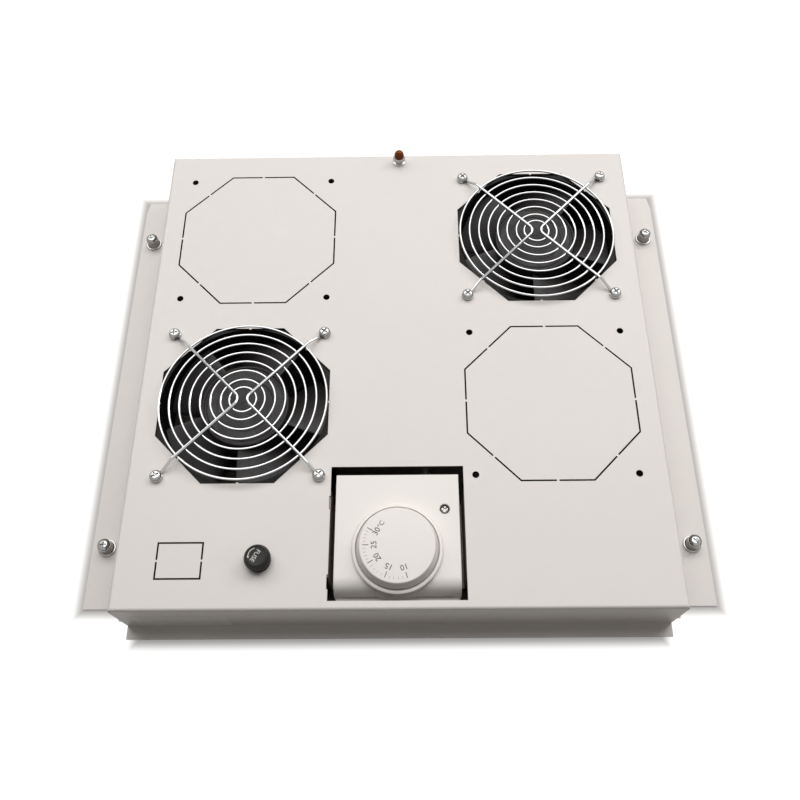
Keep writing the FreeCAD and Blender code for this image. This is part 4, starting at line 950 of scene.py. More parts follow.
def coil_recipe() -> Recipe:
    """Recipe for a compression spring: round wire wound at an even pitch.

    Returns:
        The recipe.
    """
    sizes = ("Turns", "Coil radius", "Height", "Wire")
    recipe = Recipe("compression_spring", {"Foot": Socket.PLACE, **dict.fromkeys(sizes, Socket.NUMBER)})
    given = recipe.given
    coil = recipe.make(
        "GeometryNodeCurveSpiral",
        {
            "Resolution": recipe.COIL_SIDES,
            "Rotations": given["Turns"],
            "Start Radius": given["Coil radius"],
            "End Radius": given["Coil radius"],
            "Height": given["Height"],
        },
    )
    return recipe.close(recipe.shifted(recipe.swept(coil, given["Wire"]), given["Foot"]))


def tick_recipe() -> Recipe:
    """Recipe for scale marks: equal strokes on an arc, between two angles.

    Returns:
        The recipe.
    """
    sizes = ("First turn", "Step", "Inner", "Outer", "Stroke", "Depth")
    recipe = Recipe(
        "scale_marks",
        {"Middle": Socket.PLACE, "Count": Socket.COUNT, **dict.fromkeys(sizes, Socket.NUMBER)},
    )
    book, given = recipe.book, recipe.given
    step = book.math("MULTIPLY", recipe.make("GeometryNodeInputIndex"), given["Step"])
    turn = book.along(Z=book.math("ADD", given["First turn"], step))
    length = book.math("SUBTRACT", given["Outer"], given["Inner"])
    size = book.along(X=length, Y=given["Stroke"], Z=given["Depth"])
    reach = book.math("MULTIPLY", book.math("ADD", given["Inner"], given["Outer"]), 0.5)
    stroke = recipe.shifted(recipe.make("GeometryNodeMeshCube", {"Size": size}), book.along(X=reach))
    return recipe.close(recipe.copies(recipe.row(given["Count"], given["Middle"]), stroke, Rotation=turn))


# ---------------------------------------------------------------- fasteners


@dataclass
class PanScrew:
    """A pan-head screw with a cross recess, standing on z = 0 under its head. Sizes in millimetres."""

    head: float = 7.8
    head_height: float = 2.7
    shank: float = 4.0
    length: float = 14.0
    crown: float = 0.76
    recess: float = 4.7
    recess_width: float = 1.05
    recess_depth: float = 1.5
    bar_foot: Point = (0.3, 0.35)
    bar_mouth: Point = (0.54, 0.5)
    cone_depth: float = 1.15
    cone_share: float = 0.4
    cone_width: float = 0.95
    brow: Point = (0.42, 0.35)
    crown_ease: float = 0.7
    rim_ease: float = 0.12
    tip: float = 0.7

    def recess_bar(self, turn: float) -> Mesh:
        """One bar of the cross that is cut into the head, narrower below.

        Args:
            turn: heading of the bar in degrees.

        Returns:
            Closed mesh.
        """
        foot, mouth = self.head_height - self.recess_depth, self.head_height + 0.3
        rings = [
            [(i * reach * self.recess, j * side * self.recess_width, height) for i, j in SQUARE]
            for height, (reach, side) in ((foot, self.bar_foot), (mouth, self.bar_mouth))
        ]
        return moved(skinned("cross_bar", rings), turn)

    def centre_tool(self) -> Mesh:
        """Small cone at the middle of the cross.

        Returns:
            Closed mesh.
        """
        top, deep = self.head_height + 0.2, self.head_height - self.recess_depth * self.cone_depth
        wide = self.recess_width * self.cone_width
        profile = [(0, deep), (wide * self.cone_share, deep), (wide, top), (0, top)]
        return turned("centre_tool", profile, Facets.CONE)

    def mesh(self, name: str) -> Mesh:
        """The whole screw, head and shank in one.

        Args:
            name: name of the mesh.

        Returns:
            Closed mesh about the screw's axis.
        """
        half, high, stem = self.head / 2, self.head_height, self.shank / 2
        profile = rounded(
            [
                (0, high, 0),
                (half * self.crown, high, high * self.crown_ease),
                (half, high * self.brow[0], high * self.brow[1]),
                (half, 0, self.rim_ease),
                (stem, 0, 0),
            ]
        )
        profile += [(stem, stem * (1 - self.tip) - self.length), (stem * self.tip, -self.length)]
        profile.append((0, -self.length))
        tools = [self.recess_bar(0.0), self.recess_bar(90.0), self.centre_tool()]
        return combined(turned(name, profile, Facets.SCREW), tools, "DIFFERENCE", name)


@dataclass
class GuardScrews:
    """The eight screws through the guard loops, the deck and the fan frames. Sizes in millimetres."""

    scatter: Recipe
    loop_wire: float = 1.9
    hole_inset: float = 7.5
    heading: float = 0.3
    swing: float = 0.75
    seed: int = 11
    screw: PanScrew = field(default_factory=PanScrew)

    def make(self) -> None:
        """Set a screw at each guard corner."""
        seat = Place.of("guard_front").low.z + self.loop_wire * MM
        self.screw.length = (seat - Place.of("guard_screws").low.z) / MM
        places = []
        for node in FAN_FRAMES:
            box = Place.of(node)
            reach = box.size.x / 2 - self.hole_inset * MM
            for i in (-1, 1):
                for j in (-1, 1):
                    places.append(Vector((box.middle.x + i * reach, box.middle.y + j * reach, seat)))
        master = as_object(self.screw.mesh("guard_screw_master"), "guard_screw_master")
        values = {"Master": master, "Heading": self.heading, "Swing": self.swing, "Seed": self.seed}
        mesh = self.scatter.cook(wire_mesh([p] for p in places), values, SCREW_PLATE, "guard_screw_set")
        bpy.data.objects.remove(master)
        fit_out(mesh, "guard_screw_set", ROOT, "bright_steel", SCREW_PLATE, "guard_screws")


# ---------------------------------------------------------------- finger guards


@dataclass
class FingerGuard:
    """A round wire guard: rings welded under two bent spokes that end in loops. Sizes in millimetres."""

    node: str
    fan_node: str
    recipe: Recipe
    ring_wire: float = 1.5
    spoke_wire: float = 1.9
    first_radius: float = 9.0
    second_radius: float = 14.75
    pitch: float = 6.9
    rings: int = 8
    weld_sink: float = 0.15
    bend_reach: float = 8.0
    bend_gap: float = 3.3
    bend_ease: float = 0.35
    bend_steps: int = 5
    shoulder: float = 3.0
    knee: tuple[Point, ...] = ((1.2, 0.15), (0.4, 0.0), (0.0, 0.0))
    arm_end: Point = (1.0, 0.4)
    loop: float = 3.25
    loop_sweep: int = 318
    loop_step: int = 12
    hole_inset: float = 7.5

    def heights(self) -> Spot:
        """Heights of the wires' axes.

        Returns:
            Loop, ring and spoke heights in metres.
        """
        box = Place.of(self.node)
        loop = box.low.z + self.spoke_wire / 2 * MM
        spoke = box.high.z - self.spoke_wire / 2 * MM
        return loop, spoke - ((self.ring_wire + self.spoke_wire) / 2 - self.weld_sink) * MM, spoke

    def spoke(self, side: int) -> list[Vector]:
        """Line of one spoke from loop to loop.

        Args:
            side: -1 for the left one, 1 for the right one.

        Returns:
            Points in metres.
        """
        fan = Place.of(self.fan_node)
        hole = fan.size.x / 2 / MM - self.hole_inset
        loop_z, _, spoke_z = self.heights()
        diagonal = math.sqrt(0.5)
        outer = self.second_radius + (self.rings - 2) * self.pitch + self.shoulder
        arm = hole * math.sqrt(2) - self.loop

        def point(distance: float, way: int, height: float) -> Vector:
            """A point on one diagonal."""
            reach = distance * diagonal * MM
            return Vector((fan.middle.x + side * reach, fan.middle.y + way * reach, height))

        def arm_line(way: int) -> list[Vector]:
            """The turn of wire under one screw, from its open end, and the arm up to the rings.

            Args:
                way: -1 for the front screw, 1 for the rear one.

            Returns:
                Points in metres.
            """
            centre = point(hole / diagonal, way, loop_z)
            inward = math.degrees(math.atan2(-way, -side))
            turns = [inward + way * side * a for a in range(-self.loop_sweep, 1, self.loop_step)]
            line = [centre + polar(self.loop * MM, a) for a in turns]
            line.append(point(arm - self.arm_end[0], way, loop_z + self.arm_end[1] * MM))
            return line + [point(outer + out, way, spoke_z - drop * MM) for out, drop in self.knee]

        radius = self.bend_gap + self.bend_reach * diagonal * self.bend_ease
        bend = []
        for k in range(-self.bend_steps, self.bend_steps + 1):
            lean = math.radians(45 * k / self.bend_steps)
            x = fan.middle.x + side * (self.bend_gap + radius - radius * math.cos(lean)) * MM
            bend.append(Vector((x, fan.middle.y - radius * math.sin(lean) * MM, spoke_z)))
        return arm_line(1) + bend + arm_line(-1)[::-1]

    def make(self) -> None:
        """Cook the guard and set it over its fan."""
        _, ring_z, _ = self.heights()
        values = {
            "Middle": Place.of(self.fan_node).on_axis(ring_z),
            "Ring count": self.rings,
            "First radius": self.first_radius * MM,
            "Second radius": self.second_radius * MM,
            "Pitch": self.pitch * MM,
            "Ring wire": self.ring_wire * MM,
            "Spoke wire": self.spoke_wire * MM,
        }
        name = self.node + "_wire"
        mesh = self.recipe.cook(wire_mesh([self.spoke(-1), self.spoke(1)]), values, WIRE_PLATE, name)
        fit_out(mesh, name, ROOT, "guard_chrome", WIRE_PLATE, self.node)


# ---------------------------------------------------------------- fans


@dataclass
class FanRotor:
    """A fan rotor: a hub cup with a beaded rim, and twisted blades. Sizes in millimetres.

    The crown lists radius, drop below the bead and rounding of the hub's top, from the axis outwards.
    """

    node: str
    fan_node: str
    body: str
    recipe: Recipe
    hub: float = 60.0
    hub_wall: float = 3.0
    hub_depth: float = 27.0
    hub_ease: float = 0.4
    crown: tuple[Spot, ...] = (
        (0, 1.3, 0), (2.6, 1.3, 0.4), (3.2, 1.0, 0.4), (18.6, 1.0, 0.5), (19.4, 0.5, 0.5), (25.6, 0.5, 0.4),
        (26.6, 1.1, 0.3), (27.4, 1.1, 0.3), (28.2, 0.0, 0.5), (29.2, 0.0, 0.6), (30.0, 1.2, 0.8),
    )
    tip_clearance: float = 1.5
    duct_wall: float = 3.0
    blade_count: int = 5
    rest_turn: float = -67.0
    root_sink: float = 0.6
    root_spread: float = 29.0
    tip_spread: float = 26.0
    rise_root: float = 21.0
    rise_tip: float = 15.5
    camber: float = 2.4
    thickness: float = 1.6
    top_gap: float = 4.0
    spans: int = 10
    chords: int = 18
    crease: float = 50.0

    def hub_mesh(self, high: float) -> Mesh:
        """Hub cup with a bead round its top and a shallow step inside it.

        Args:
            high: height of the bead in millimetres.

        Returns:
            Closed mesh about the axis.
        """
        outer, inner = self.hub / 2, self.hub / 2 - self.hub_wall
        low, under, ease = high - self.hub_depth, high - self.hub_wall, self.hub_ease
        profile = [(radius, high - drop, rounding) for radius, drop, rounding in self.crown]
        profile += [(outer, low, ease), (inner, low, ease), (inner, under, 0), (0, under, 0)]
        return turned("hub", rounded(profile, steps=3), Facets.CAP)

    def section(self, share: float, root: float, tip: float, centre: float) -> list[Spot]:
        """Closed section of the blade at a share of its length.

        Args:
            share: 0 at the hub and 1 at the tip.
            root: radius at the hub in millimetres.
            tip: radius at the tip in millimetres.
            centre: height of the blade's middle in millimetres.

        Returns:
            Points of the section, over the blade and back under it.
        """
        radius = root + share * (tip - root)
        spread = math.radians(self.root_spread + share * (self.tip_spread - self.root_spread))
        rise = self.rise_root + share * (self.rise_tip - self.rise_root)
        upper, lower = [], []
        for k in range(self.chords + 1):
            way = -math.cos(math.pi * k / self.chords)
            half = self.thickness * (1 - way**8) ** 0.5 / 2
            height = centre - way * rise / 2 + self.camber * (1 - way * way) - self.thickness / 2
            x, y = radius * math.cos(spread * way), radius * math.sin(spread * way)
            upper.append((x, y, height + half))
            lower.append((x, y, height - half))
        return upper + lower[-2:0:-1]

    def blade_mesh(self, high: float) -> Mesh:
        """One cambered blade from hub to tip with eased edges.

        Args:
            high: height of the hub's bead in millimetres.

        Returns:
            Closed mesh about the axis, with its middle along X.
        """
        root = self.hub / 2 - self.root_sink
        tip = Place.of(self.fan_node).size.x / 2 / MM - self.duct_wall - self.tip_clearance
        centre = high - self.top_gap - self.rise_root / 2
        shares = [k / self.spans for k in range(self.spans + 1)]
        return skinned("blade", [self.section(share, root, tip, centre) for share in shares])

    def make(self) -> None:
        """Cook the rotor and set it into its duct."""
        high = Place.of(self.node).top
        hub = as_object(self.hub_mesh(high), "hub_master")
        values = {
            "Hub": hub,
            "Blade count": self.blade_count,
            "Rest turn": math.radians(self.rest_turn),
            "Middle": Place.of(self.fan_node).on_axis(0.0),
        }
        name = self.node + "_moulding"
        mesh = self.recipe.cook(self.blade_mesh(high), values, ROTOR_BLACK, name, self.crease)
        bpy.data.objects.remove(hub)
        fit_out(mesh, name, self.body, "fan_plastic", ROTOR_BLACK, self.node)


# ---------------------------------------------------------------- thermostat


@dataclass
class ThermostatCover:
    """The moulded cover: round nose, boss round the dial, screw well and front vents. Sizes in millimetres."""

    wall: float = 2.0
    nose: float = 10.0
    nose_steps: int = 12
    least_nose: float = 0.5
    edge: float = 1.5
    least_edge: float = 0.4
    boss: float = 57.0
    boss_rise: float = 3.0
    boss_recess: float = 2.4
    boss_edge: float = 1.1
    dial: float = 52.2
    dial_edge: float = 0.4
    dial_draft: float = 0.01
    base_gap: float = 0.4
    well: float = 6.4
    well_depth: float = 2.6
    well_lead: float = 0.4
    well_rim: Point = (0.3, 0.1)
    spare: float = 1.0
    vent_length: float = 23.0
    vent_height: float = 2.0
    vent_offset: float = 22.5
    ledge_depth: float = 2.2
    ledge_height: float = 1.2
    ledge_side: float = 1.0
    lead_hole: float = 5.2
    lead_at: Point = (18.3, 35.0)
    screw_head: float = 1.8
    screw_turn: float = 38.0
    crease: float = 25.0

    def front(self) -> float:
        """Front face of the cover in millimetres, which the boss may overhang."""
        overhang = Place.of("thermostat_dial").plan[1] - self.boss / 2
        return max(overhang, Place.of("thermostat_base").low.y / MM - self.wall - self.base_gap)

    def shell(self, place: Place, flat: float) -> Mesh:
        """Body of the cover with its round nose, hollow below.

        Args:
            place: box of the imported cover.
            flat: height of the flat face in millimetres.

        Returns:
            Closed mesh.
        """
        half, front, rear = place.size.x / 2 / MM, self.front(), place.high.y / MM
        work = bmesh.new()
        skins = []
        for inset in (0.0, self.wall):
            edge, nose = max(self.least_edge, self.edge - inset), max(self.least_nose, self.nose - inset)
            section = rounded(
                [
                    (rear - inset, place.bottom, 0),
                    (rear - inset, flat - inset, edge),
                    (front + inset, flat - inset, nose),
                    (front + inset, place.bottom, 0),
                ],
                steps=self.nose_steps,
            )
            reach = (half - inset) * MM
            left, right = [[work.verts.new((x, y * MM, z * MM)) for y, z in section] for x in (-reach, reach)]
            for k in range(len(section) - 1):
                work.faces.new((left[k], left[k + 1], right[k + 1], right[k]))
            work.faces.new(left)
            work.faces.new(right)
            skins.append((left[0], left[-1], right[-1], right[0]))
        rim, lip = skins
        for k in range(4):
            after = (k + 1) % 4
            work.faces.new((rim[k], rim[after], lip[after], lip[k]))
        return closed_mesh(work, "cover_shell")

    def additions(self, half: float, flat: float) -> list[Mesh]:
        """Boss round the dial, and the foot along the front, right under the vents.

        Args:
            half: half the width of the cover in millimetres.
            flat: height of the flat face in millimetres.

        Returns:
            Closed meshes to join to the shell.
        """
        under, crown = flat - self.nose, flat + self.boss_rise
        floor = crown - self.boss_recess
        profile = rounded(
            [
                (0, under, 0),
                (self.boss / 2, under, 0),
                (self.boss / 2, crown, self.boss_edge),
                (self.dial / 2 + self.dial_draft, crown, self.dial_edge),
                (self.dial / 2, floor, 0),
                (0, floor, 0),
            ]
        )
        boss = turned("boss", profile, Facets.BOSS, Place.of("thermostat_dial").plan)
        reach, low = half - self.ledge_side, under - self.vent_height - self.ledge_height
        y0, y1 = self.front() - self.ledge_depth, self.front() + self.wall / 2
        outline = [(-reach, y0), (reach, y0), (reach, y1), (-reach, y1)]
        return [boss, raised("ledge", outline, low, low + self.ledge_height)]

    def cuts(self, place: Place, flat: float) -> list[Mesh]:
        """Well over the cover screw, two slots along the foot of the nose, and the hole for the lead.

        Args:
            place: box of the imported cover.
            flat: height of the flat face in millimetres.

        Returns:
            Closed meshes to cut out of the cover.
        """
        half, floor, under = self.well / 2, flat - self.well_depth, flat - self.nose
        mouth, lid = half + self.well_lead, flat + self.spare
        profile = [(0, floor), (half, floor), (half, flat - self.well_rim[0])]
        profile += [(mouth, flat + self.well_rim[1]), (mouth, lid), (0, lid)]
        tools = [turned("well", profile, Facets.SCREW, Place.of("thermostat_cover_screw").plan)]
        y0, y1 = self.front() - self.spare, self.front() + self.wall + self.spare
        for side in (-1, 1):
            centre = Place.of("thermostat_dial").plan[0] + side * self.vent_offset
            x0, x1 = centre - self.vent_length / 2, centre + self.vent_length / 2
            outline = [(x0, y0), (x1, y0), (x1, y1), (x0, y1)]
            tools.append(raised("vent", outline, under - self.vent_height, under))
        half, long = self.lead_hole / 2, self.wall * 2
        plug = turned("lead_plug", [(0, -long), (half, -long), (half, long), (0, long)], Facets.PLUG)
        plug.transform(Matrix.Rotation(math.pi / 2, 4, "X"))
        tools.append(moved(plug, 0, (self.lead_at[0] * MM, place.high.y, self.lead_at[1] * MM)))
        return tools

    def make(self) -> None:
        """Shape the cover and set it into the window with its screw."""
        place = Place.of("thermostat_cover")
        flat = place.top - self.boss_rise
        name = "thermostat_cover_moulding"
        added = self.additions(place.size.x / 2 / MM, flat)
        whole = combined(self.shell(place, flat), added, "UNION", "cover_with_boss")
        mesh = combined(whole, self.cuts(place, flat), "DIFFERENCE", name, self.crease)
        fit_out(mesh, name, ROOT, "thermostat_plastic", COVER_PLASTIC, "thermostat_cover")
        box = Place.of("thermostat_cover_screw")
        shape = PanScrew(
            head=5.6, head_height=self.screw_head, shank=3.0, recess=3.9, recess_width=1.1, recess_depth=1.3,
            length=box.size.z / MM - self.screw_head,
        )
        seat = box.on_axis(box.high.z - self.screw_head * MM)
        screw = moved(shape.mesh("cover_screw_turned"), self.screw_turn, seat)
        fit_out(screw, "cover_screw_turned", ROOT, "bright_steel", NICKEL, "thermostat_cover_screw")


@dataclass
class Dial:
    """The setting dial with its printed scale. Sizes in millimetres, angles in degrees from +X."""

    ticks: Recipe
    base: float = 51.0
    top: float = 47.0
    edge: float = 0.9
    grip: float = 4.2
    wall: float = 2.0
    draft: float = 0.2
    skirt: float = 1.4
    lift: float = 0.6
    inner_stroke: float = 17.6
    fine_stroke: float = 19.5
    outer_stroke: float = 21.3
    stroke: float = 0.5
    fine_width: float = 0.26
    fine_parts: int = 5
    ink: float = 0.04
    weight: float = 0.04
    numeral_height: float = 3.6
    numeral_reach: float = 14.2
    first_turn: float = 3.0
    first_reach: float = 1.0
    unit_height: float = 3.0
    unit_gap: float = 5.2
    unit_lean: float = 2.0
    body: str = "thermostat_knob"
    scale: tuple[tuple[str, float], ...] = (
        ("30", 149.6), ("25", 180.0), ("20", 212.0), ("15", 249.0), ("10", 287.0),
    )

    def knob(self, place: Place) -> Mesh:
        """The turned knob.

        Args:
            place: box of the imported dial.

        Returns:
            Closed mesh.
        """
        low, high, roof = place.bottom, place.top, place.top - self.wall
        profile = rounded(
            [
                (0, high, 0),
                (self.top / 2, high, self.edge),
                (self.base / 2, low + self.skirt, 0.8),
                (self.base / 2, low, 0.3),
                (self.base / 2 - self.wall, low, 0.3),
                (self.top / 2 - self.wall - self.draft, roof, 0.6),
                (self.grip, roof, 0.4),
                (self.grip, low + self.lift, 0.3),
                (0, low + self.lift, 0),
            ],
            steps=6,
        )
        return turned("dial_knob", profile, Facets.DIAL, place.plan)

    def strokes(self, count: int, first: float, step: float, inner: float, width: float, ink: Finish) -> Mesh:
        """Print equal strokes on an arc of the dial.

        Args:
            count: number of strokes.
            first: heading of the first stroke.
            step: turn from each stroke to the next.
            inner: radius of their inner ends.
            width: width of a stroke.
            ink: finish of the print.

        Returns:
            Mesh of the strokes.
        """
        place = Place.of("thermostat_dial")
        values = {
            "Middle": place.on_axis(place.high.z),
            "Outer": self.outer_stroke * MM,
            "Depth": self.ink * MM,
            "Count": count,
            "First turn": math.radians(first),
            "Step": math.radians(step),
            "Inner": inner * MM,
            "Stroke": width * MM,
        }
        return self.ticks.cook(wire_mesh(), values, ink, "strokes")

    def marks(self) -> None:
        """Print the long strokes at the numbers and the fine ones at each degree between."""
        turns = [turn for _, turn in self.scale]
        long_ones = [self.strokes(1, turn, 0.0, self.inner_stroke, self.stroke, DIAL_INK) for turn in turns]
        fine_ones = []
        for turn, after in zip(turns, turns[1:]):
            step = (after - turn) / self.fine_parts
            look = (self.fine_stroke, self.fine_width, DIAL_FAINT_INK)
            fine_ones.append(self.strokes(self.fine_parts - 1, turn + step, step, *look))
        fit_out(joined(long_ones), "dial_long_marks", self.body, "thermostat_plastic", DIAL_INK)
        fit_out(joined(fine_ones), "dial_fine_marks", self.body, "thermostat_plastic", DIAL_FAINT_INK)

    def numerals(self, place: Place) -> None:
        """Print the numbers, their tops to the rim, and the unit after the first of them.

        Args:
            place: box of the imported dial.
        """
        axis = Vector(place.on_axis(place.high.z))
        words = []
        for k, (text, turn) in enumerate(self.scale):
            shift = polar(self.numeral_reach * MM, turn)
            if k == 0:
                shift = polar((self.numeral_reach + self.first_reach) * MM, turn - self.first_turn)
                unit = lettering("°C", self.unit_height, self.weight, self.ink)
                gap = polar(self.unit_gap * MM, turn - 90 - self.unit_lean)
                words.append(moved(unit, turn - 90, axis + shift + gap))
            mesh = lettering(text, self.numeral_height, self.weight, self.ink)
            words.append(moved(mesh, turn - 90, axis + shift))
        fit_out(joined(words), "dial_numerals", self.body, "thermostat_plastic", DIAL_INK)

    def make(self) -> None:
        """Make the knob and its print."""
        place = Place.of("thermostat_dial")
        fit_out(self.knob(place), "dial_knob", self.body, "thermostat_plastic", DIAL_PLASTIC, "thermostat_dial")
        self.marks()
        self.numerals(place)


# ---------------------------------------------------------------- fuse holder


@dataclass
class FuseCap:
    """The turned cap of the fuse holder with its printed word and arrow. Sizes in millimetres."""

    outer: float = 16.4
    top: float = 13.6
    undercut: float = 1.0
    belt_low: float = 3.0
    belt_high: float = 4.8
    neck: float = 4.2
    dish: float = 0.35
    dish_rim: Point = (1.1, 0.8)
    brow: float = 0.2
    crease: float = 40.0
    seat_gap: float = 0.2
    ink: float = 0.06
    word_height: float = 2.8
    word_turn: float = 239.5
    word_shift: Point = (-0.7, 0.4)
    arrow_reach: float = 5.0
    arrow_from: float = 106.0
    arrow_to: float = 180.0
    arrow_tip: float = 17.0
    arrow_width: float = 0.45
    arrow_steps: int = 14
    body: str = "fuse_knob"

    def cap(self, place: Place, skirt: float) -> Mesh:
        """The cap with its neck.

        Args:
            place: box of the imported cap.
            skirt: height of the cap's underside in millimetres.

        Returns:
            Closed mesh.
        """
        half, high, dished = self.outer / 2, place.top, place.top - self.dish
        profile = rounded(
            [
                (0, dished, 0),
                (self.top / 2 - self.dish_rim[0], dished, 0.3),
                (self.top / 2 - self.dish_rim[1], high, 0.3),
                (self.top / 2, high - self.brow, 0.6),
                (half, skirt + self.belt_high, 1.2),
                (half, skirt + self.belt_low, 0.8),
                (half - self.undercut, skirt, 0.4),
                (self.neck / 2, skirt, 0),
                (self.neck / 2, place.bottom, 0.2),
                (0, place.bottom, 0),
            ],
            steps=4,
        )
        return turned("fuse_cap_turned", profile, Facets.CAP, place.plan, self.crease)

    def arrow(self, place: Place) -> Mesh:
        """Curved arrow beside the word.

        Args:
            place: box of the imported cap.

        Returns:
            Flat closed mesh.
        """
        (x, y), level = place.plan, place.top - self.dish
        inner, outer = self.arrow_reach - self.arrow_width / 2, self.arrow_reach + self.arrow_width / 2
        step = (self.arrow_to - self.arrow_from) / self.arrow_steps
        turns = [self.arrow_from + k * step for k in range(self.arrow_steps + 1)]
        line = [(inner, turn) for turn in turns]
        line += [(inner - self.arrow_width, self.arrow_to), (self.arrow_reach, self.arrow_to + self.arrow_tip)]
        line += [(outer + self.arrow_width, self.arrow_to)] + [(outer, turn) for turn in reversed(turns)]
        outline = [
            (x + radius * math.cos(math.radians(turn)), y + radius * math.sin(math.radians(turn)))
            for radius, turn in line
        ]
        return raised("fuse_arrow", outline, level - self.ink, level + self.ink / 2)

    def make(self) -> None:
        """Make the cap and its print."""
        place = Place.of("fuse_cap")
        skirt = Place.of("fuse_holder_body").top + self.seat_gap
        fit_out(self.cap(place, skirt), "fuse_cap_turned", self.body, "fuse_plastic", FUSE_BLACK, "fuse_cap")
        word = lettering("FUSE", self.word_height, 0.0, self.ink)
        shift = Vector((*self.word_shift, -self.dish)) * MM
        moved(word, self.word_turn, Vector(place.on_axis(place.high.z)) + shift)
        marks = joined([word, self.arrow(place)])
        fit_out(marks, "fuse_marking", self.body, "fuse_plastic", FUSE_INK)


# ---------------------------------------------------------------- pilot lamp


@dataclass
class PilotLamp:
    """Flanged hexagon bezel with an amber dome. Sizes in millimetres."""

    flats: float = 8.0
    flange: float = 9.8
    flange_height: float = 0.8
    dome: float = 7.5
    dome_foot: float = 1.4
    dome_steps: int = 16
    chamfer: float = 0.7
    chamfer_in: float = 0.28
    face_in: float = 0.25
    flange_edge: float = 0.2
    flange_in: float = 0.3
    slack: float = 0.05
    bore: float = 5.8
    bezel_crease: float = 24.0
    dome_crease: float = 50.0

    def bezel(self, place: Place) -> Mesh:
        """Hexagon with a flange below and a turned chamfer on top.

        Args:
            place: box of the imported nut.

        Returns:
            Closed mesh.
        """
        low, high, (x, y) = place.bottom, place.top, place.plan
        corner = self.flats / 2 / math.cos(math.pi / 6)
        rim, foot, edge = self.flange / 2, low + self.flange_height, self.flange_edge
        levels = [
            (low, rim - edge, False),
            (low + edge, rim, False),
            (foot - edge, rim, False),
            (foot, rim - self.flange_in, False),
            (foot + self.slack, corner + self.slack, True),
            (high - self.chamfer, corner + self.slack, True),
            (high - self.chamfer / 2, corner - self.chamfer_in, True),
            (high, self.flats / 2 - self.face_in, True),
            (high, self.bore / 2, False),
            (low, self.bore / 2, False),
        ]

        def point(k: int, height: float, limit: float, hexed: bool) -> Spot:
            """A point of one level, kept inside the hexagon where it has one.

            Args:
                k: number of the point round the level.
                height: height of the level.
                limit: radius that isn't passed.
                hexed: whether the level is a hexagon.

            Returns:
                The point in millimetres.
            """
            angle = 2 * math.pi * k / Facets.CAP
            sector = (angle + math.pi / 2 + math.pi / 6) % (math.pi / 3) - math.pi / 6
            radius = min(limit, self.flats / 2 / math.cos(sector)) if hexed else limit
            return x + radius * math.cos(angle), y + radius * math.sin(angle), height

        rings = [[point(k, *level) for k in range(Facets.CAP)] for level in levels]
        return skinned("lamp_bezel", rings, looped=True, crease=self.bezel_crease)

    def lens(self, place: Place) -> Mesh:
        """Bullet-shaped dome.

        Args:
            place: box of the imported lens.

        Returns:
            Closed mesh.
        """
        half, foot = self.dome / 2, place.bottom + self.dome_foot
        profile = [(0, place.bottom), (half, place.bottom), (half, foot)]
        for k in range(1, self.dome_steps):
            angle = math.pi / 2 * k / self.dome_steps
            profile.append((half * math.cos(angle), foot + (place.top - foot) * math.sin(angle)))
        return turned("lamp_dome", [*profile, (0, place.top)], Facets.LENS, place.plan, self.dome_crease)

    def make(self) -> None:
        """Make bezel and dome."""
        bezel = self.bezel(Place.of("lamp_bezel_nut"))
        fit_out(bezel, "lamp_bezel", ROOT, "lamp_chrome", LAMP_CHROME, "lamp_bezel_nut")
        fit_out(self.lens(Place.of("lamp_lens")), "lamp_dome", ROOT, "lamp_amber", AMBER, "lamp_lens")


# ---------------------------------------------------------------- captive screws


@dataclass
class CaptiveScrews:
    """Sprung captive screws in their ferrules. Sizes in millimetres."""

    scatter: Recipe
    spigot: float = 7.9
    flange: float = 12.0
    flange_height: float = 1.0
    barrel: float = 9.6
    mouth: float = 9.0
    mouth_height: float = 0.6
    bore: float = 8.2
    hole: float = 4.6
    sheet: float = 1.5
    floor: float = 2.1
    head: float = 7.6
    head_height: float = 2.4
    first_turn: float = 20.0
    next_turn: float = 37.0

    def ferrule(self, high: float) -> Mesh:
        """One ferrule about its axis.

        Args:
            high: height of its mouth in millimetres.

        Returns:
            Closed mesh.
        """
        hole, ledge = self.hole / 2, self.sheet + self.flange_height
        profile = rounded(
            [
                (hole, 0, 0),
                (self.spigot / 2, 0, 0.2),
                (self.spigot / 2, self.sheet, 0),
                (self.flange / 2, self.sheet, 0),
                (self.flange / 2, ledge, 0.3),
                (self.barrel / 2, ledge, 0.35),
                (self.mouth / 2, high - self.mouth_height, 0.3),
                (self.mouth / 2, high, 0.2),
                (self.bore / 2, high, 0.12),
                (self.bore / 2, self.floor, 0),
                (hole, self.floor, 0),
            ],
            steps=3,
        )
        return turned("ferrule_master", profile, Facets.FERRULE)

    def make(self) -> None:
        """Set the four ferrules and their screws."""
        master = as_object(self.ferrule(Place.of("captive_ferrules").top), "ferrule_master")
        places = [Vector(Place.of("captive_screw_" + corner).on_axis(0)) for corner in CORNERS]
        values = {"Master": master, "Heading": 0.0, "Swing": 0.0, "Seed": 0}
        mesh = self.scatter.cook(wire_mesh([p] for p in places), values, NICKEL, "captive_ferrule_set")
        bpy.data.objects.remove(master)
        fit_out(mesh, "captive_ferrule_set", ROOT, "captive_steel", NICKEL, "captive_ferrules")
        for k, corner in enumerate(CORNERS):
            node = "captive_screw_" + corner
            place, name = Place.of(node), node + "_turned"
            shape = PanScrew(
                head=self.head, head_height=self.head_height, crown=0.7, recess=4.0, recess_width=0.9,
                length=place.size.z / MM - self.head_height,
            )
            seat = place.on_axis(place.high.z - self.head_height * MM)
            mesh = moved(shape.mesh(name), self.first_turn + self.next_turn * k, seat)
            fit_out(mesh, name, "captive_fastener_" + corner, "captive_steel", SCREW_PLATE, node)


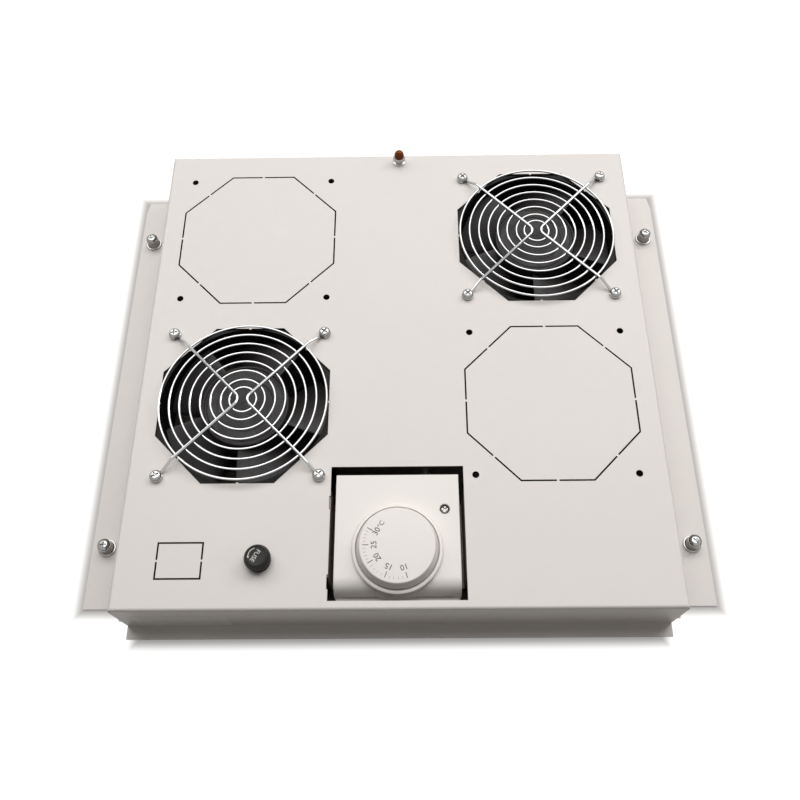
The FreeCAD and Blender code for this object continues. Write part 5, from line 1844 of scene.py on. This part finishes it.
@dataclass
class CaptiveSprings:
    """The springs that hold the captive screws up. Millimetres."""

    recipe: Recipe
    wire: float = 0.5
    turns: float = 4.0
    travel: float = 4.0

    def make(self) -> None:
        """Wind a spring into each ferrule."""
        for corner in CORNERS:
            node = "captive_spring_" + corner
            place = Place.of(node)
            length = place.size.z / MM
            values = {
                "Foot": place.on_axis(place.low.z + self.wire / 2 * MM),
                "Turns": self.turns,
                "Coil radius": place.size.x / 2 - self.wire / 2 * MM,
                "Height": (length - self.wire) * MM,
                "Wire": self.wire * MM,
            }
            mesh = self.recipe.cook(wire_mesh(), values, SPRING_STEEL, node + "_coil")
            coil = fit_out(mesh, node + "_coil", ROOT, "spring_steel", SPRING_STEEL, node)
            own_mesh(coil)


# ---------------------------------------------------------------- tray and hidden hardware


@dataclass
class Tray:
    """The folded tray and the blank label on its front wall. Sizes in millimetres."""

    label_left: float = 9.0
    label_length: float = 59.0
    label_low: float = 3.2
    label_height: float = 26.0
    label_thickness: float = 0.15
    label_corner: float = 1.5
    flange_reach: float = 31.0
    lip_reach: float = 8.5

    def label(self, front: float, left: float) -> Mesh:
        """Blank label with round corners, standing on the front wall.

        Args:
            front: outside of the front wall in millimetres.
            left: outside of the left wall in millimetres.

        Returns:
            Closed mesh.
        """
        x0, x1 = left + self.label_left, left + self.label_left + self.label_length
        z0, z1 = self.label_low, self.label_low + self.label_height
        corners = [(x, z, self.label_corner) for x, z in ((x1, z0), (x1, z1), (x0, z1), (x0, z0))]
        seam = ((x0 + x1) / 2, z0, 0)
        outline = rounded([seam, *corners, seam], steps=4)[:-1]
        faces = (front, front - self.label_thickness)
        return skinned("front_label", [[(x, y, z) for x, z in outline] for y in faces])

    def make(self) -> None:
        """Dress the tray and stick the label on."""
        dress(PAINT, "tray")
        corner = Place.of("tray").low / MM
        mesh = self.label(corner.y + self.lip_reach, corner.x + self.flange_reach)
        fit_out(mesh, "front_label", ROOT, "tray_paint", LABEL)


class HiddenHardware:
    """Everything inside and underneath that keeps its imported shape."""

    GROUPS: tuple[tuple[Finish, tuple[str, ...]], ...] = (
        (FAN_BLACK, FAN_FRAMES),
        (LAMINATION, ("fan_front_stator", "fan_rear_stator")),
        (BRONZE, ("fan_front_bearings", "fan_rear_bearings")),
        (NICKEL, ("fan_front_shaft", "fan_rear_shaft", "guard_nuts", "bracket_nuts", "thermostat_base_screws")),
        (NICKEL, ("terminal_block_nuts", "earth_washer", "earth_nut", "fuse_link_ends")),
        (ZINC_SHEET, ("thermostat_bracket",)),
        (COVER_PLASTIC, ("thermostat_base",)),
        (NYLON, ("thermostat_spindle", "thermostat_cam", "lead_clips")),
        (LEAD_SHEATH, ("lead_front_fan", "lead_rear_fan", "lead_thermostat", "lead_lamp", "lead_fuse")),
        (CAPSULE_BRASS, ("thermostat_capsule",)),
        (SWITCH_BLACK, ("thermostat_switch",)),
        (FUSE_BLACK, ("fuse_holder_body", "fuse_holder_nut", "fuse_carrier")),
        (FUSE_GLASS, ("fuse_link",)),
        (LAMP_BODY, ("lamp_body",)),
        (RUBBER, ("cable_grommet",)),
        (TERMINAL_WHITE, ("terminal_block",)),
        (TERMINAL_METAL, ("terminal_screws",)),
        (NICKEL, tuple("captive_washer_" + corner for corner in CORNERS)),
    )

    def make(self) -> None:
        """Dress each group."""
        for finish, nodes in self.GROUPS:
            dress(finish, *nodes)


# ---------------------------------------------------------------- studio


@dataclass(frozen=True)
class SoftLamp:
    """A square soft lamp: its place and side in metres and its power in watts."""

    name: str
    at: Spot
    power: float
    size: float

    def hang(self, aim: Spot) -> None:
        """Put the lamp up.

        Args:
            aim: point that it faces, in metres.
        """
        light = bpy.data.lights.new(self.name, "AREA")
        light.shape = "SQUARE"
        light.size = self.size
        light.energy = self.power
        made = as_object(light, self.name)
        made.location = self.at
        made.rotation_euler = (Vector(aim) - Vector(self.at)).to_track_quat("-Z", "Y").to_euler()


@dataclass
class Studio:
    """Pale floor, two soft lamps behind the object, one above, a weak one at the front, and the camera."""

    camera_at: Spot = (0.00884, -0.28391, 0.57758)
    camera_turn: Spot = (27.625, 0.856, -0.165)
    lens: float = 39.22
    shift: Point = (0.0006, -0.0511)
    aim: Spot = (0, 0, 0.02)
    lamps: tuple[SoftLamp, ...] = (
        SoftLamp("lamp_rear_right", (1.05, 0.75, 1.15), 7.5, 0.7),
        SoftLamp("lamp_rear_left", (-1.05, 0.75, 1.15), 4.5, 0.7),
        SoftLamp("lamp_above", (0.0, 1.2, 2.4), 57.0, 2.4),
        SoftLamp("lamp_front_right", (1.3, -0.2, 0.6), 1.0, 0.6),
    )
    floor_half: float = 6.0
    fill: float = 0.10
    bounce: Colour = (0.22, 0.20, 0.18)
    # reach and least strength of the painted shadow ramp round the object's outlines
    shadow_reach: float = 0.009
    shadow_lift: float = 0.3
    outline_slack: float = 0.0015
    outlines: tuple[Point, ...] = ((0.206, 0.1645), (0.1665, 0.1835))

    def seen(self, book: TreeBook) -> Output:
        """Rays that show the background itself: straight, mirrored or through glass.

        Args:
            book: the material's tree.

        Returns:
            Socket that is 1 on such a ray.
        """
        path = book.add("ShaderNodeLightPath").outputs
        straight = book.largest(path["Is Camera Ray"], path["Is Transmission Ray"])
        return book.largest(straight, path["Is Glossy Ray"])

    def outside(self, book: TreeBook) -> Output:
        """Distance on the floor from the outline of the object.

        Args:
            book: the floor material's tree.

        Returns:
            Socket with the distance in metres, below zero under the object.
        """
        place = book.add("ShaderNodeSeparateXYZ", {0: book.add("ShaderNodeTexCoord").outputs["Object"]})
        across, along = (book.math("ABSOLUTE", place.outputs[k]) for k in (0, 1))
        gaps = [
            book.largest(book.math("SUBTRACT", across, half_x), book.math("SUBTRACT", along, half_y))
            for half_x, half_y in self.outlines
        ]
        return book.math("MINIMUM", *gaps)

    def floor(self) -> None:
        """White floor: its emission is cut off under the object, which is painted shade, and ramps up along the
        object's outline, which is a painted shadow added to the real shadow in its diffuse part.
        """
        material = bpy.data.materials.new("studio_floor")
        book = TreeBook.fresh(material)
        # painted shadow and shade: emission is zero under the outlines and rises from shadow_lift to full white
        # within shadow_reach of them, whatever the lamps do
        distance = self.outside(book)
        values = {"Value": distance, "From Min": 0.0, "From Max": self.shadow_reach, "To Min": self.shadow_lift}
        painted_shadow_ramp = book.add("ShaderNodeMapRange", {**values, "To Max": 1.0}, interpolation_type="SMOOTHSTEP")
        beside = book.math("GREATER_THAN", distance, -self.outline_slack)
        strength = book.math("MULTIPLY", painted_shadow_ramp.outputs[0], beside)
        bounce = book.add("ShaderNodeBsdfDiffuse", {"Color": (*self.bounce, 1)}).outputs[0]
        lift = book.add("ShaderNodeEmission", {"Color": (1, 1, 1, 1), "Strength": strength}).outputs[0]
        shown = book.add("ShaderNodeAddShader", {0: bounce, 1: lift}).outputs[0]
        mixed = book.add("ShaderNodeMixShader", {0: self.seen(book), 1: bounce, 2: shown}).outputs[0]
        book.add("ShaderNodeOutputMaterial", {"Surface": mixed})
        mesh = bpy.data.meshes.new("studio_floor")
        corners = [(i * self.floor_half, j * self.floor_half, 0) for i, j in SQUARE]
        mesh.from_pydata(corners, [], [(0, 1, 2, 3)])
        mesh.materials.append(material)
        as_object(mesh, "studio_floor")

    def world(self) -> None:
        """Plain surroundings: white where seen, dimmer where they light the object."""
        world = bpy.data.worlds.new("studio_world")
        bpy.context.scene.world = world
        book = TreeBook.fresh(world)
        strength = book.math("ADD", self.fill, book.math("MULTIPLY", self.seen(book), 1.0 - self.fill))
        back = book.add("ShaderNodeBackground", {"Color": (1, 1, 1, 1), "Strength": strength})
        book.add("ShaderNodeOutputWorld", {"Surface": back.outputs[0]})

    def camera(self) -> None:
        """Camera in front of the object and above it, looking down at the deck."""
        lens = bpy.data.cameras.new("studio_camera")
        lens.lens = self.lens
        lens.sensor_width = 36.0
        lens.shift_x, lens.shift_y = self.shift
        lens.clip_start = 0.01
        made = as_object(lens, "studio_camera")
        made.location = self.camera_at
        made.rotation_euler = [math.radians(a) for a in self.camera_turn]
        bpy.context.scene.camera = made

    def make(self) -> None:
        """Set up the studio."""
        self.floor()
        self.world()
        for lamp in self.lamps:
            lamp.hang(self.aim)
        self.camera()
        bpy.context.scene.view_settings.view_transform = "Standard"


# ---------------------------------------------------------------- assembly


def main() -> None:
    """Build every piece in order."""
    logging.basicConfig(level=logging.INFO, format="%(name)s: %(message)s")
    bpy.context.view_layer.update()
    scatter = scatter_recipe()
    guards = guard_recipe()
    rotors = rotor_recipe()
    pieces: list[Any] = [
        Studio(),
        Tray(),
        HiddenHardware(),
        FingerGuard("guard_front", "fan_front_frame", guards),
        FingerGuard("guard_rear", "fan_rear_frame", guards),
        GuardScrews(scatter),
        FanRotor("fan_front_rotor", "fan_front_frame", "fan_front_impeller", rotors),
        FanRotor("fan_rear_rotor", "fan_rear_frame", "fan_rear_impeller", rotors),
        ThermostatCover(),
        Dial(tick_recipe()),
        FuseCap(),
        PilotLamp(),
        CaptiveScrews(scatter),
        CaptiveSprings(coil_recipe()),
    ]
    for piece in pieces:
        piece.make()
    bpy.context.view_layer.update()


if __name__ == "__main__":
    main()
